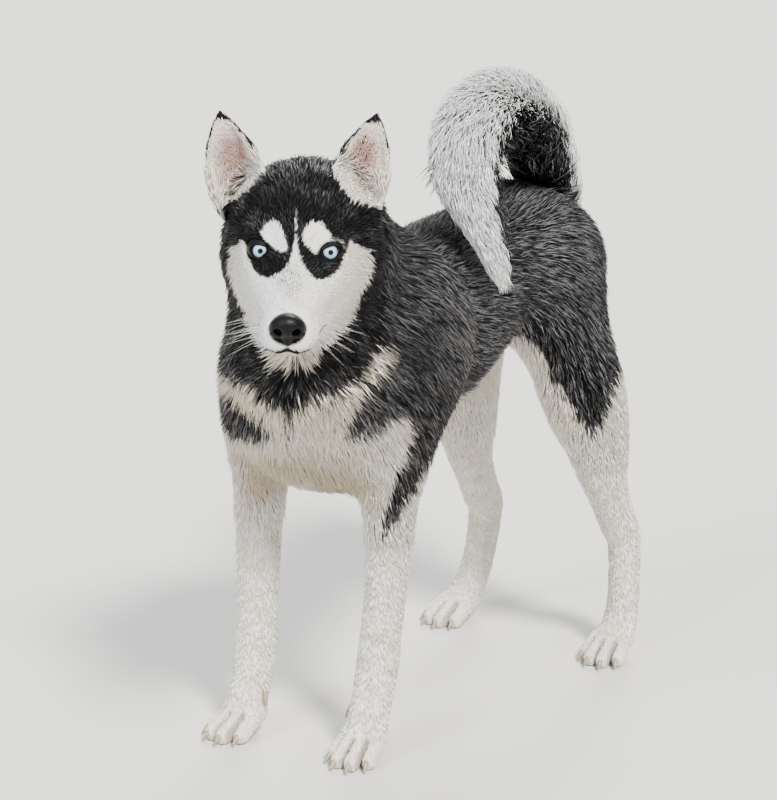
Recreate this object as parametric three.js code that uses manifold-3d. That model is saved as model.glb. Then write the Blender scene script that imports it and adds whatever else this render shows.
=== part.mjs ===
// Siberian husky, a young adult standing square with its head turned and its tail curled over the back.
// Units are millimetres. The dog faces -Y, its left side is +X and the floor is Z = 0.
import * as THREE from 'three';
import { mergeVertices } from 'three/addons/utils/BufferGeometryUtils.js';
import Module from 'manifold-3d';

const wasm = await Module();
wasm.setup();

// Gap that touching pieces keep.
const GAP = 0.3;
// How far a piece is grown before it cuts its neighbour clear, just short of the gap between cut faces.
const CLEARANCE = 0.27;
// The trunk's middle plane, a little to the right of the middle of the feet.
const MID = -10;

// Trunk stations along Y: y, back line, belly line, half width, height of the widest level as a fraction,
// roundness of the section above and below it.
const TRUNK = [
  [-235, 490, 350, 60, 0.50, 2.25, 2.25],
  [-205, 525, 312, 84, 0.50, 2.25, 2.25],
  [-160, 552, 292, 100, 0.52, 2.25, 2.25],
  [-110, 558, 288, 106, 0.54, 2.25, 2.25],
  [-50, 554, 292, 107, 0.56, 2.25, 2.25],
  [10, 555, 304, 105, 0.56, 2.25, 2.25],
  [60, 560, 330, 98, 0.57, 2.25, 2.25],
  [110, 563, 362, 88, 0.57, 2.25, 2.25],
  [165, 564, 382, 84, 0.58, 2.25, 2.25],
  [210, 556, 392, 78, 0.60, 2.25, 2.25],
  [242, 542, 402, 68, 0.62, 2.25, 2.25],
  [266, 520, 415, 52, 0.62, 2.25, 2.25],
];
const TRUNK_END = 26;

// Legs from the top down: x, y, z, radius fore and aft, width as a share of it.
const FORELEG_LEFT = [
  [62, -115, 420, 62, 0.55], [72, -142, 335, 49, 0.62], [71, -148, 280, 35.5, 0.74],
  [70, -148, 240, 30.5, 0.84], [66, -146, 180, 25.5, 0.90], [60, -145, 125, 23.5, 0.98],
  [58, -144, 104, 24.5, 0.98], [57, -150, 68, 23, 1.0], [58, -162, 30, 21, 1.15],
];
const FORELEG_RIGHT = [
  [-84, -120, 420, 62, 0.55], [-88, -160, 335, 49, 0.62], [-87, -168, 280, 35.5, 0.74],
  [-86, -170, 240, 31.5, 0.84], [-85, -172, 180, 26.5, 0.90], [-84, -174, 120, 23.5, 0.98],
  [-84, -174, 97, 24.5, 0.98], [-83, -180, 65, 23, 1.0], [-82, -192, 30, 21, 1.15],
];
const HIND_LEG_LEFT = [
  [44, 204, 450, 72, 0.52], [61, 198, 390, 74, 0.54], [78, 210, 330, 68, 0.58],
  [87, 226, 284, 52, 0.66], [91, 234, 242, 39, 0.76], [94, 248, 205, 28.5, 0.84],
  [97, 270, 163, 25.5, 0.82], [98, 283, 144, 24.5, 0.80], [100, 286, 92, 22, 0.88],
  [101, 283, 48, 21, 0.98], [102, 272, 26, 20, 1.15],
];
const HIND_LEG_RIGHT = [
  [-64, 202, 445, 72, 0.52], [-79, 196, 385, 74, 0.54], [-90, 208, 322, 66, 0.60],
  [-95, 226, 270, 50, 0.68], [-97, 238, 228, 37, 0.76], [-99, 253, 196, 28.5, 0.84],
  [-102, 276, 158, 26.5, 0.84], [-104, 290, 138, 26, 0.80], [-108, 288, 84, 22.5, 0.88],
  [-111, 277, 46, 21, 0.98], [-112, 262, 26, 20, 1.15],
];

// Feet: middle of the foot on the floor and how far it toes out, in degrees.
const FEET = {
  forepaw_left: { x: 60, y: -180, toeOut: 8, dewclaw: -1 },
  forepaw_right: { x: -82, y: -210, toeOut: -6, dewclaw: 1 },
  hind_paw_left: { x: 103, y: 248, toeOut: 6 },
  hind_paw_right: { x: -113, y: 233, toeOut: -8 },
};
// Toe ends in the foot's own frame: sideways, forward as -y, radius.
const TOES = [[-20.5, -11, 11], [-7.8, -24, 11.5], [7.8, -24, 11.5], [20.5, -11, 11]];
const TOE_HEIGHT = 8.7;

// Tail from root to tip over the back and down on the left flank: x, y, z, reach of its hair.
const TAIL = [
  [-10, 256, 500, 32], [-10, 272, 520, 34], [-10, 266, 547, 38], [-9, 251, 579, 42],
  [-7, 219, 618, 44], [-2, 180, 643, 44], [6, 122, 658, 43], [13, 80, 656, 42],
  [20, 44, 643, 40], [28, 22, 615, 37], [42, 11, 582, 33], [60, 4, 557, 29],
  [78, -2, 534, 25], [94, -5, 503, 19], [102, 6, 470, 12],
];
// Share of the hair's reach that the tail's core takes.
const TAIL_CORE = 0.52;

// Head: its own frame has its origin between the eyes, x to its left, -y forward and z up.
const HEAD = { x: 98, y: -350, z: 579, turn: 35.9, nod: 5, lean: 0.8, size: 0.985 };
// Head stations from the muzzle back: y, top, underside, half width, widest level, roundness above and below.
const SKULL = [
  [-102, -28, -70, 21, 0.46, 2.0, 2.3],
  [-88, -24, -75, 26, 0.46, 2.0, 2.4],
  [-60, -19, -78, 29, 0.46, 1.9, 2.5],
  [-36, -11, -81, 34, 0.47, 1.9, 2.5],
  [-18, -1, -84, 42, 0.50, 2.0, 2.4],
  [-4, 19, -87, 51, 0.52, 2.1, 2.3],
  [10, 35, -91, 60, 0.50, 2.2, 2.2],
  [30, 47, -97, 68, 0.49, 2.2, 2.2],
  [60, 57, -104, 75, 0.48, 2.2, 2.2],
  [90, 60, -109, 78, 0.48, 2.2, 2.2],
  [124, 56, -110, 76, 0.48, 2.2, 2.2],
];
const SKULL_END = 8;
const EYE = { x: 33, y: 0, z: 0, radius: 11 };
const LIDS = { radius: 13.4, wide: 12.5, high: 7.6, tilt: 17 };
const NOSE = { y: -108, z: -43, wide: 36, high: 27, deep: 22 };
// The line of the mouth from under the nose to its left corner, and the groove's radius.
const MOUTH = {
  radius: 1.7,
  line: [[0, -108, -61], [9, -106, -65], [19, -94, -67], [27, -70, -64], [33, -42, -62], [37, -26, -66]],
};
// Ear edges in the head's frame from below the root to the tip, and the cup's depth and wall at both ends.
const EAR = {
  inner: [[27, 66, 40], [31, 62, 62], [46, 66, 88], [62, 72, 105], [75, 78, 114]],
  outer: [[72, 70, 4], [84, 65, 32], [89.5, 66, 56], [88.5, 69, 82], [77, 78, 113]],
  depth: [34, 5],
  wall: [11, 4],
};
const CLAW = { length: 13, radius: 3 };

// Long coat: how far its locks stand over their core, and a lock's size.
const RUFF = { depth: 11, length: 78, wide: 40, thick: 9 };
const BREECHES = { depth: 8, length: 66, wide: 34, thick: 8 };
const PLUME = { length: 88, wide: 38, thick: 8, fullest: 44, around: 5, pitch: 68, stagger: 5 };
const CHEEK = { depth: 6, length: 42, wide: 24, thick: 6 };

// Distance fields: negative inside, about true distances in millimetres near the surface.
const vec = (a) => new THREE.Vector3(a[0], a[1], a[2]);
const X_AXIS = new THREE.Vector3(1, 0, 0);

function smoothMin(a, b, k) {
  const h = Math.max(k - Math.abs(a - b), 0) / k;
  return Math.min(a, b) - h * h * k * 0.25;
}

function blend(k, fields) {
  return (p) => fields.reduce((d, field) => smoothMin(d, field(p), k), 1e6);
}

// Tapered capsule from a to b, its width across "side" scaled by fa at a and fb at b.
function capsule(a, b, ra, rb, fa = 1, fb = fa, side = X_AXIS) {
  const from = vec(a);
  const along = vec(b).sub(from);
  const length2 = along.lengthSq();
  const across = side.clone().normalize();
  const q = new THREE.Vector3();
  return (p) => {
    q.subVectors(p, from);
    const t = THREE.MathUtils.clamp(q.dot(along) / length2, 0, 1);
    q.addScaledVector(along, -t);
    const f = fa + (fb - fa) * t;
    const s = q.dot(across);
    const reach = Math.sqrt(q.lengthSq() + s * s * (1 / (f * f) - 1));
    return (reach - ra - (rb - ra) * t) * Math.min(1, f);
  };
}

function ellipsoid(centre, radii) {
  const c = vec(centre);
  const r = vec(radii);
  const r2 = r.clone().multiply(r);
  const q = new THREE.Vector3();
  const u = new THREE.Vector3();
  return (p) => {
    q.subVectors(p, c);
    const near = u.copy(q).divide(r).length();
    const slope = u.copy(q).divide(r2).length();
    return near * (near - 1) / (slope + 1e-9);
  };
}

// Smooth curve through the stations of a table: column "to" read at a value of column "from".
function curveThrough(table, to) {
  const n = table.length;
  const x = table.map((row) => row[0]);
  const y = table.map((row) => row[to]);
  const slope = (i) => (y[i + 1] - y[i]) / (x[i + 1] - x[i]);
  const tangent = x.map((_, i) => {
    if (i === 0) return slope(0);
    if (i === n - 1) return slope(n - 2);
    const before = x[i] - x[i - 1];
    const after = x[i + 1] - x[i];
    return (slope(i - 1) * after + slope(i) * before) / (before + after);
  });
  return (at) => {
    const v = THREE.MathUtils.clamp(at, x[0], x[n - 1]);
    let i = 0;
    while (i < n - 2 && v > x[i + 1]) i += 1;
    const h = x[i + 1] - x[i];
    const t = (v - x[i]) / h;
    const t2 = t * t;
    const t3 = t2 * t;
    return (2 * t3 - 3 * t2 + 1) * y[i] + (t3 - 2 * t2 + t) * h * tangent[i]
      + (3 * t2 - 2 * t3) * y[i + 1] + (t3 - t2) * h * tangent[i + 1];
  };
}

// Body along Y lofted through a table of stations, round at its ends.
function loft(table, middle, end) {
  const columns = [1, 2, 3, 4, 5, 6].map((column) => curveThrough(table, column));
  const [top, bottom, half, level, above, below] = columns;
  const first = table[0][0];
  const last = table[table.length - 1][0];
  return (p) => {
    const y = THREE.MathUtils.clamp(p.y, first, last);
    const high = top(y);
    const low = bottom(y);
    const widest = low + (high - low) * level(y);
    const width = half(y);
    const height = p.z > widest ? high - widest : widest - low;
    const n = p.z > widest ? above(y) : below(y);
    const e = (Math.abs((p.x - middle) / width) ** n + Math.abs((p.z - widest) / height) ** n
      + Math.abs((p.y - y) / end) ** n) ** (1 / n);
    return (e - 1) * Math.min(width, height, end + 20) * 0.95;
  };
}

// Stations put between those of a table, on a smooth curve through every column.
function refine(rows, between) {
  const out = [];
  for (let i = 0; i + 1 < rows.length; i += 1) {
    const row = (n) => rows[THREE.MathUtils.clamp(n, 0, rows.length - 1)];
    const [before, a, b, after] = [row(i - 1), row(i), row(i + 1), row(i + 2)];
    for (let n = 0; n < between; n += 1) {
      const t = n / between;
      out.push(a.map((v, c) => {
        const start = (b[c] - before[c]) / 2;
        const end = (after[c] - v) / 2;
        const rise = b[c] - v;
        return v + start * t + (3 * rise - 2 * start - end) * t ** 2 + (start + end - 2 * rise) * t ** 3;
      }));
    }
  }
  out.push(rows[rows.length - 1]);
  return out;
}

// Tapered capsules end to end through a table of stations: x, y, z, radius and width share.
function chain(table, between = 2, side = X_AXIS) {
  const stations = refine(table, between);
  const links = stations.slice(1).map((b, i) => {
    const a = stations[i];
    return capsule(a, b, a[3], b[3], a[4] ?? 1, b[4] ?? 1, side);
  });
  return blend(1.5, links);
}

function paw({ x, y, toeOut }) {
  const turn = THREE.MathUtils.degToRad(-toeOut);
  const c = Math.cos(turn);
  const s = Math.sin(turn);
  const q = new THREE.Vector3();
  const pads = capsule([0, 2, 15], [0, 20, 22], 16.5, 17, 1.35);
  const toe = ([tx, ty, r]) => capsule([tx * 0.85, ty + 22, 21], [tx, ty, TOE_HEIGHT], r, r - 0.5, 0.86);
  const toes = TOES.map(toe);
  const foot = blend(4, [pads, ...toes]);
  return (p) => {
    const dx = p.x - x;
    const dy = p.y - y;
    q.set(c * dx - s * dy, s * dx + c * dy, p.z);
    return foot(q);
  };
}

function chestAndShoulders() {
  const parts = [
    ellipsoid([MID + 2, -200, 390], [68, 50, 80]),
    ellipsoid([MID, -165, 332], [68, 66, 42]),
  ];
  for (const side of [-1, 1]) {
    parts.push(ellipsoid([MID + side * 68, -168, 378], [40, 54, 70]));
    parts.push(ellipsoid([MID + side * 74, -105, 440], [36, 68, 92]));
  }
  return blend(40, parts);
}

function neckForm() {
  const side = new THREE.Vector3(1, 0.3, 0);
  return blend(36, [
    capsule([-8, -145, 480], [34, -246, 558], 94, 80, 0.92, 0.98, side),
    capsule([34, -246, 558], [60, -282, 582], 80, 70, 0.98, 1, side),
    capsule([22, -222, 440], [48, -274, 528], 84, 72, 0.95, 0.95, side),
    capsule([-6, -200, 400], [24, -232, 452], 70, 76, 1, 1, side),
  ]);
}

function croup() {
  return blend(40, [
    ellipsoid([MID - 42, 200, 452], [46, 70, 84]),
    ellipsoid([MID + 42, 200, 452], [46, 70, 84]),
    capsule([MID, 218, 494], [MID, 250, 500], 52, 34),
  ]);
}

// Head frame
const headPlace = new THREE.Matrix4();
{
  const [turn, nod, lean] = [HEAD.turn, HEAD.nod, HEAD.lean].map(THREE.MathUtils.degToRad);
  headPlace.makeRotationFromEuler(new THREE.Euler(nod, -lean, turn, 'ZXY'));
  headPlace.scale(new THREE.Vector3(HEAD.size, HEAD.size, HEAD.size));
  headPlace.setPosition(HEAD.x, HEAD.y, HEAD.z);
}
const headInverse = headPlace.clone().invert();

function inHeadFrame(field) {
  const q = new THREE.Vector3();
  return (p) => field(q.copy(p).applyMatrix4(headInverse)) * HEAD.size;
}
const mirrored = (field) => {
  const q = new THREE.Vector3();
  return (p) => field(q.set(Math.abs(p.x), p.y, p.z));
};

function headForm() {
  const steps = [
    [10, mirrored(ellipsoid([25, 8, 13], [20, 15, 12]))],
    [9, mirrored(ellipsoid([13, -90, -53], [13, 15, 13]))],
    [8, ellipsoid([0, -88, -68], [14, 11, 9])],
    [14, mirrored(capsule([34, -4, -26], [16, -62, -34], 13, 10))],
  ];
  const skull = loft(SKULL, 0, SKULL_END);
  return (p) => steps.reduce((d, [k, field]) => smoothMin(d, field(p), k), skull(p));
}

const forms = {
  trunk: loft(TRUNK, MID, TRUNK_END),
  chest: chestAndShoulders(),
  neck: neckForm(),
  croup: croup(),
  legs: blend(4, [FORELEG_LEFT, FORELEG_RIGHT, HIND_LEG_LEFT, HIND_LEG_RIGHT].map((s) => chain(s))),
  feet: blend(1, Object.values(FEET).map(paw)),
  head: inHeadFrame(headForm()),
};

// The whole dog without its tail and ears, one smooth form out to the tips of its coat.
function body(p) {
  let d = smoothMin(forms.trunk(p), forms.chest(p), 40);
  d = smoothMin(d, forms.neck(p), 45);
  d = smoothMin(d, forms.croup(p), 40);
  d = smoothMin(d, forms.legs(p), 26);
  d = smoothMin(d, forms.feet(p), 8);
  return smoothMin(d, forms.head(p), 26);
}

// Where the coat is long its locks stand on a core that lies deeper than their tips.
const ruffRegion = capsule([-12, -160, 470], [58, -268, 560], 70, 46);
const chestRegion = capsule([-10, -215, 440], [-10, -215, 340], 42, 40);
const breechRegion = (side) => capsule([MID + side * 62, 275, 440], [MID + side * 88, 292, 262], 26, 26);
const breechRegions = [breechRegion(-1), breechRegion(1)];
const fade = (d, over) => 1 - THREE.MathUtils.smoothstep(d, 0, over);
function core(p) {
  const ruff = Math.max(fade(ruffRegion(p), 40), fade(chestRegion(p), 40)) * RUFF.depth;
  const breeches = Math.max(...breechRegions.map((region) => fade(region(p), 24))) * BREECHES.depth;
  return body(p) + Math.max(ruff, breeches);
}

// Solids
const solid = (geometry) => {
  const bare = geometry.clone();
  bare.deleteAttribute('normal');
  bare.deleteAttribute('uv');
  const merged = mergeVertices(bare, 1e-4);
  return new wasm.Manifold(new wasm.Mesh({
    numProp: 3,
    vertProperties: new Float32Array(merged.attributes.position.array),
    triVerts: new Uint32Array(merged.index.array),
  }));
};

// Evenly spaced grid lines from low to high, about "step" apart.
function lines(low, high, step) {
  const n = Math.max(3, Math.round((high - low) / step));
  return Array.from({ length: n + 1 }, (_, i) => low + (high - low) * i / n);
}

// Surface of a field inside a grid, as quads between cell points, drawn on to the surface.
function surface(field, box, steps) {
  const axes = ['x', 'y', 'z'].map((a) => lines(box.min[a], box.max[a], steps[a]));
  const size = axes.map((a) => a.length);
  const at = (i, j, k) => (k * size[1] + j) * size[0] + i;
  const values = new Float64Array(size[0] * size[1] * size[2]);
  const p = new THREE.Vector3();
  for (let k = 0; k < size[2]; k += 1) {
    for (let j = 0; j < size[1]; j += 1) {
      for (let i = 0; i < size[0]; i += 1) {
        p.set(axes[0][i], axes[1][j], axes[2][k]);
        const rim = [i, j, k].some((v, a) => v === 0 || v === size[a] - 1);
        values[at(i, j, k)] = rim ? Math.max(field(p), 0.5) : field(p);
      }
    }
  }
  const points = [];
  const cellPoint = new Int32Array(values.length).fill(-1);
  for (let k = 0; k + 1 < size[2]; k += 1) {
    for (let j = 0; j + 1 < size[1]; j += 1) {
      for (let i = 0; i + 1 < size[0]; i += 1) {
        const sum = new THREE.Vector3();
        let crossings = 0;
        for (let corner = 0; corner < 8; corner += 1) {
          const c = [corner & 1, (corner >> 1) & 1, corner >> 2];
          const a = values[at(i + c[0], j + c[1], k + c[2])];
          for (let axis = 0; axis < 3; axis += 1) {
            if (c[axis] === 1) continue;
            const d = c.slice();
            d[axis] = 1;
            const b = values[at(i + d[0], j + d[1], k + d[2])];
            if (a < 0 === b < 0) continue;
            const t = THREE.MathUtils.clamp(a / (a - b), 0.02, 0.98);
            const place = [i + c[0], j + c[1], k + c[2]];
            const spot = place.map((v, n) => axes[n][v]);
            spot[axis] += t * (axes[axis][place[axis] + 1] - axes[axis][place[axis]]);
            sum.add(p.set(spot[0], spot[1], spot[2]));
            crossings += 1;
          }
        }
        if (crossings === 0) continue;
        cellPoint[at(i, j, k)] = points.length;
        points.push(sum.divideScalar(crossings));
      }
    }
  }
  const reach = 0.5 * Math.min(steps.x, steps.y, steps.z);
  points.forEach((point) => drawOn(point, field, reach));
  const index = [];
  for (let axis = 0; axis < 3; axis += 1) {
    const u = (axis + 1) % 3;
    const v = (axis + 2) % 3;
    const step = [0, 0, 0];
    step[axis] = 1;
    for (let k = 1; k + 1 < size[2]; k += 1) {
      for (let j = 1; j + 1 < size[1]; j += 1) {
        for (let i = 1; i + 1 < size[0]; i += 1) {
          const a = values[at(i, j, k)] < 0;
          const b = values[at(i + step[0], j + step[1], k + step[2])] < 0;
          if (a === b) continue;
          const corner = (du, dv) => {
            const c = [i, j, k];
            c[u] -= du;
            c[v] -= dv;
            return cellPoint[at(c[0], c[1], c[2])];
          };
          const quad = [corner(1, 1), corner(0, 1), corner(0, 0), corner(1, 0)];
          if (!a) quad.reverse();
          const diagonal = (m, n) => points[quad[m]].distanceTo(points[quad[n]]);
          const [q0, q1, q2, q3] = diagonal(0, 2) < diagonal(1, 3) ? quad : [...quad.slice(1), quad[0]];
          index.push(q0, q1, q2, q0, q2, q3);
        }
      }
    }
  }
  const geometry = new THREE.BufferGeometry();
  geometry.setAttribute('position', new THREE.Float32BufferAttribute(points.flatMap((q) => q.toArray()), 3));
  geometry.setIndex(index);
  return geometry;
}

// Moves a point on to the surface of a field in a few short steps.
function drawOn(point, field, reach) {
  const e = 0.2;
  const probe = new THREE.Vector3();
  const slope = new THREE.Vector3();
  for (let pass = 0; pass < 3; pass += 1) {
    for (const a of ['x', 'y', 'z']) {
      probe.copy(point)[a] += e;
      const high = field(probe);
      probe[a] -= 2 * e;
      slope[a] = (high - field(probe)) / (2 * e);
    }
    slope.multiplyScalar(-field(point) / (slope.lengthSq() + 1e-6));
    point.add(slope.clampLength(0, reach));
  }
}

// A field kept inside a box, so that its surface closes there.
function within(field, box) {
  const centre = box.getCenter(new THREE.Vector3());
  const half = box.getSize(new THREE.Vector3()).multiplyScalar(0.5);
  return (p) => Math.max(
    field(p),
    Math.abs(p.x - centre.x) - half.x,
    Math.abs(p.y - centre.y) - half.y,
    Math.abs(p.z - centre.z) - half.z,
  );
}

const region = (x0, x1, y0, y1, z0, z1) => new THREE.Box3(vec([x0, y0, z0]), vec([x1, y1, z1]));

// Closed solid of a field in a region, with cells of the given sizes.
function mould(field, box, step) {
  const steps = typeof step === 'number' ? { x: step, y: step, z: step } : step;
  const outer = box.clone();
  outer.min.sub(new THREE.Vector3(steps.x, steps.y, steps.z).multiplyScalar(1.5));
  outer.max.add(new THREE.Vector3(steps.x, steps.y, steps.z).multiplyScalar(1.5));
  return solid(surface(within(field, box), outer, steps));
}

// The half space in front of a plane, as a large block whose face lies off it by half a gap, or by "off".
const BLOCK = 3000;
function ahead(point, normal, off = GAP / 2) {
  const n = vec(normal).normalize();
  const block = new THREE.BoxGeometry(BLOCK, BLOCK, BLOCK);
  const turn = new THREE.Quaternion().setFromUnitVectors(new THREE.Vector3(0, 0, 1), n);
  block.applyQuaternion(turn);
  const centre = vec(point).addScaledVector(n, BLOCK / 2 + off);
  block.translate(centre.x, centre.y, centre.z);
  return solid(block);
}
const behind = (point, normal) => ahead(point, normal.map((v) => -v));

// A closed solid's surface moved outwards: each corner goes where all its faces move by the same distance.
function grown(manifold, by) {
  const merged = mergeVertices(geometryOf(manifold), 1e-4);
  const { position } = merged.attributes;
  const index = merged.index.array;
  const squares = Array.from({ length: position.count }, () => new Float64Array(9));
  const sums = Array.from({ length: position.count }, () => new THREE.Vector3());
  for (let f = 0; f < index.length; f += 3) {
    const corners = [index[f], index[f + 1], index[f + 2]];
    const points = corners.map((i) => new THREE.Vector3().fromBufferAttribute(position, i));
    const n = new THREE.Triangle(...points).getNormal(new THREE.Vector3());
    const axes = n.toArray();
    for (const i of corners) {
      sums[i].add(n);
      for (let e = 0; e < 9; e += 1) squares[i][e] += axes[Math.floor(e / 3)] * axes[e % 3];
    }
  }
  for (let i = 0; i < position.count; i += 1) {
    const m = squares[i];
    for (const e of [0, 4, 8]) m[e] += 0.02;
    const solve = new THREE.Matrix3(...m).invert();
    const move = sums[i].applyMatrix3(solve).multiplyScalar(by).clampLength(0, 3 * by);
    position.setXYZ(i, position.getX(i) + move.x, position.getY(i) + move.y, position.getZ(i) + move.z);
  }
  return solid(merged);
}

// The largest closed surface of a solid, which fills sealed hollows and drops loose scraps.
function largest(manifold) {
  const pieces = manifold.decompose();
  return pieces.reduce((best, piece) => (piece.volume() > best.volume() ? piece : best));
}

function geometryOf(manifold) {
  const { vertProperties, triVerts } = manifold.getMesh();
  const geometry = new THREE.BufferGeometry();
  geometry.setAttribute('position', new THREE.BufferAttribute(new Float32Array(vertProperties), 3));
  geometry.setIndex(new THREE.BufferAttribute(new Uint32Array(triVerts), 1));
  return geometry;
}

// Seeded random numbers from 0 to 1.
function randomFrom(seed) {
  let state = seed;
  return () => {
    state = (state * 1664525 + 1013904223) % 4294967296;
    return state / 4294967296;
  };
}

function slopeOf(field, point) {
  const e = 0.5;
  const probe = new THREE.Vector3();
  const slope = new THREE.Vector3();
  for (const a of ['x', 'y', 'z']) {
    probe.copy(point)[a] += e;
    const high = field(probe);
    probe[a] -= 2 * e;
    slope[a] = high - field(probe);
  }
  return slope.normalize();
}

// Point where a ray from inside a field comes out of it.
function exitPoint(field, from, direction) {
  const p = from.clone();
  for (let pass = 0; pass < 60; pass += 1) {
    const d = field(p);
    if (d > -0.05) break;
    p.addScaledVector(direction, Math.max(-d * 0.8, 0.3));
  }
  return p;
}

// Heights over the core along a lock, from its sunk root to its tip, with its width and thickness there.
const LOCK_RINGS = [
  { at: 0, high: -0.9, wide: 0.62, thick: 0.9 },
  { at: 0.27, high: 0.15, wide: 1.0, thick: 1.0 },
  { at: 0.55, high: 0.55, wide: 0.95, thick: 0.85 },
  { at: 0.8, high: 0.8, wide: 0.6, thick: 0.6 },
  { at: 1, high: 1, wide: 0, thick: 0 },
];

// One flat, tapered lock of three sides that starts at a root on its core and bends along the coat's lie.
function lock(field, root, lie, size) {
  const spine = [];
  const normals = [];
  const q = root.clone();
  let last = 0;
  for (const ring of LOCK_RINGS) {
    const n = slopeOf(field, q);
    const along = lie(q).addScaledVector(n, -lie(q).dot(n)).normalize();
    q.addScaledVector(along, size.length * (ring.at - last));
    last = ring.at;
    const height = ring.high * (ring.high < 0 ? size.thick : size.depth);
    const out = slopeOf(field, q);
    q.addScaledVector(out, height - field(q));
    spine.push(q.clone());
    normals.push(out);
  }
  const position = [];
  const index = [];
  spine.forEach((centre, i) => {
    const ring = LOCK_RINGS[i];
    if (ring.wide === 0) {
      position.push(...centre.toArray());
      return;
    }
    const ahead = (spine[i + 1] ?? centre).clone().sub(spine[i - 1] ?? centre).normalize();
    const across = ahead.clone().cross(normals[i]).normalize();
    const up = across.clone().cross(ahead).normalize();
    const a = ring.wide * size.wide / 2;
    const b = ring.thick * size.thick / 2;
    for (const [u, v] of [[a, -b / 2], [0, b / 2], [-a, -b / 2]]) {
      position.push(...centre.clone().addScaledVector(across, u).addScaledVector(up, v).toArray());
    }
  });
  const rings = LOCK_RINGS.length - 1;
  for (let i = 0; i < rings; i += 1) {
    for (let c = 0; c < 3; c += 1) {
      const d = (c + 1) % 3;
      const [p0, p1] = [i * 3 + c, i * 3 + d];
      if (i + 1 === rings) {
        index.push(p0, p1, rings * 3);
      } else {
        index.push(p0, p1, p1 + 3, p0, p1 + 3, p0 + 3);
      }
    }
  }
  index.push(0, 2, 1);
  const geometry = new THREE.BufferGeometry();
  geometry.setAttribute('position', new THREE.Float32BufferAttribute(position, 3));
  geometry.setIndex(index);
  const made = solid(geometry);
  return made.volume() > 0 ? made : solid(flipped(geometry));
}
function flipped(geometry) {
  const turned = geometry.clone();
  const index = Array.from(geometry.index.array);
  for (let i = 0; i < index.length; i += 3) [index[i], index[i + 1]] = [index[i + 1], index[i]];
  turned.setIndex(index);
  return turned;
}

// Locks in rows round an axis: each row starts at a point and fans its roots between two angles.
function lockRows(field, rows, lie, size, seed) {
  const random = randomFrom(seed);
  const locks = [];
  for (const { from, ahead, side, count, start, end } of rows) {
    const u = side.clone().normalize();
    const v = ahead.clone().cross(u).normalize();
    const whole = end - start > 359;
    for (let i = 0; i < count; i += 1) {
      const share = whole ? i / count : i / Math.max(1, count - 1);
      const angle = THREE.MathUtils.degToRad(start + (end - start) * share + (random() - 0.5) * 9);
      const ray = u.clone().multiplyScalar(Math.cos(angle)).addScaledVector(v, Math.sin(angle));
      const origin = from.clone().addScaledVector(ahead, (random() - 0.5) * 8);
      const vary = 0.88 + 0.24 * random();
      const aside = v.clone().multiplyScalar(Math.cos(angle)).addScaledVector(u, -Math.sin(angle));
      aside.multiplyScalar((random() - 0.5) * 0.35);
      const leaning = (p) => lie(p).add(aside);
      const root = exitPoint(field, origin, ray);
      locks.push(lock(field, root, leaning, { ...size, length: size.length * vary }));
    }
  }
  return locks;
}

// A solid's mesh with its corners on a fine lattice. Ends of a very short edge share a lattice point and
// other corners that would meet there stay apart, on the first lattice that keeps every edge between two faces.
const LATTICES = [0.004, 0.006, 0.009, 0.013, 0.02, 0.03];
const CORNER_SHIFT = 4;
function snapped(manifold) {
  const { vertProperties, triVerts } = manifold.getMesh();
  const count = vertProperties.length / 3;
  for (const pitch of LATTICES) {
    const spotOf = (v) => [0, 1, 2].map((axis) => Math.round(vertProperties[v * 3 + axis] / pitch));
    const spots = Array.from({ length: count }, (_, v) => spotOf(v));
    const leader = Array.from({ length: count }, (_, v) => v);
    const lead = (v) => {
      let at = v;
      while (leader[at] !== at) at = leader[at];
      return at;
    };
    for (let i = 0; i < triVerts.length; i += 1) {
      const [v, w] = [triVerts[i], triVerts[i % 3 === 2 ? i - 2 : i + 1]];
      if (spots[v].every((n, axis) => n === spots[w][axis])) leader[lead(v)] = lead(w);
    }
    const taken = new Set();
    const ids = new Map();
    const position = [];
    const corners = Array.from(triVerts, (v) => {
      const first = lead(v);
      if (!ids.has(first)) {
        const spot = spots[first];
        while (taken.has(spot.join())) spot[0] += CORNER_SHIFT;
        taken.add(spot.join());
        ids.set(first, ids.size);
        position.push(...spot.map((n) => n * pitch));
      }
      return ids.get(first);
    });
    const index = [];
    const edges = new Map();
    for (let f = 0; f < corners.length; f += 3) {
      const face = corners.slice(f, f + 3);
      if (new Set(face).size < 3) continue;
      index.push(...face);
      face.forEach((v, i) => {
        const edge = `${v},${face[(i + 1) % 3]}`;
        edges.set(edge, (edges.get(edge) ?? 0) + 1);
      });
    }
    const paired = ([edge, uses]) => uses === 1 && edges.has(edge.split(',').reverse().join());
    if (![...edges].every(paired)) continue;
    const geometry = new THREE.BufferGeometry();
    geometry.setAttribute('position', new THREE.Float32BufferAttribute(position, 3));
    geometry.setIndex(index);
    return geometry;
  }
  throw new Error('no lattice keeps this solid closed');
}

// Cut planes between named pieces: a point and a normal.
const headBack = (x, y, z) => vec([x, y, z]).applyMatrix4(headPlace).toArray();
const headAxis = (x, y, z) => vec([x, y, z]).transformDirection(headPlace).toArray();
const CUTS = {
  nape: [headBack(0, 98, 0), headAxis(0, -1, 0.2)],
  throat: [headBack(0, 0, -87), headAxis(0, 0.12, 1)],
  neck: [[0, -128, 575], [0, -190, 140]],
  waist: [[0, 100, 0], [0, 1, 0]],
  elbow: [[0, 0, 278], [0, 0, -1]],
  thigh: [[0, 0, 352], [0, 0, -1]],
  wrist: [[0, 0, 64], [0, 0, -1]],
  floor: [[0, 0, 0], [0, 0, 1]],
};

// A core cut to its place and joined with its locks, as one closed surface.
const joined = (base, locks) => largest(locks.reduce((whole, piece) => whole.add(piece), base));

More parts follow.
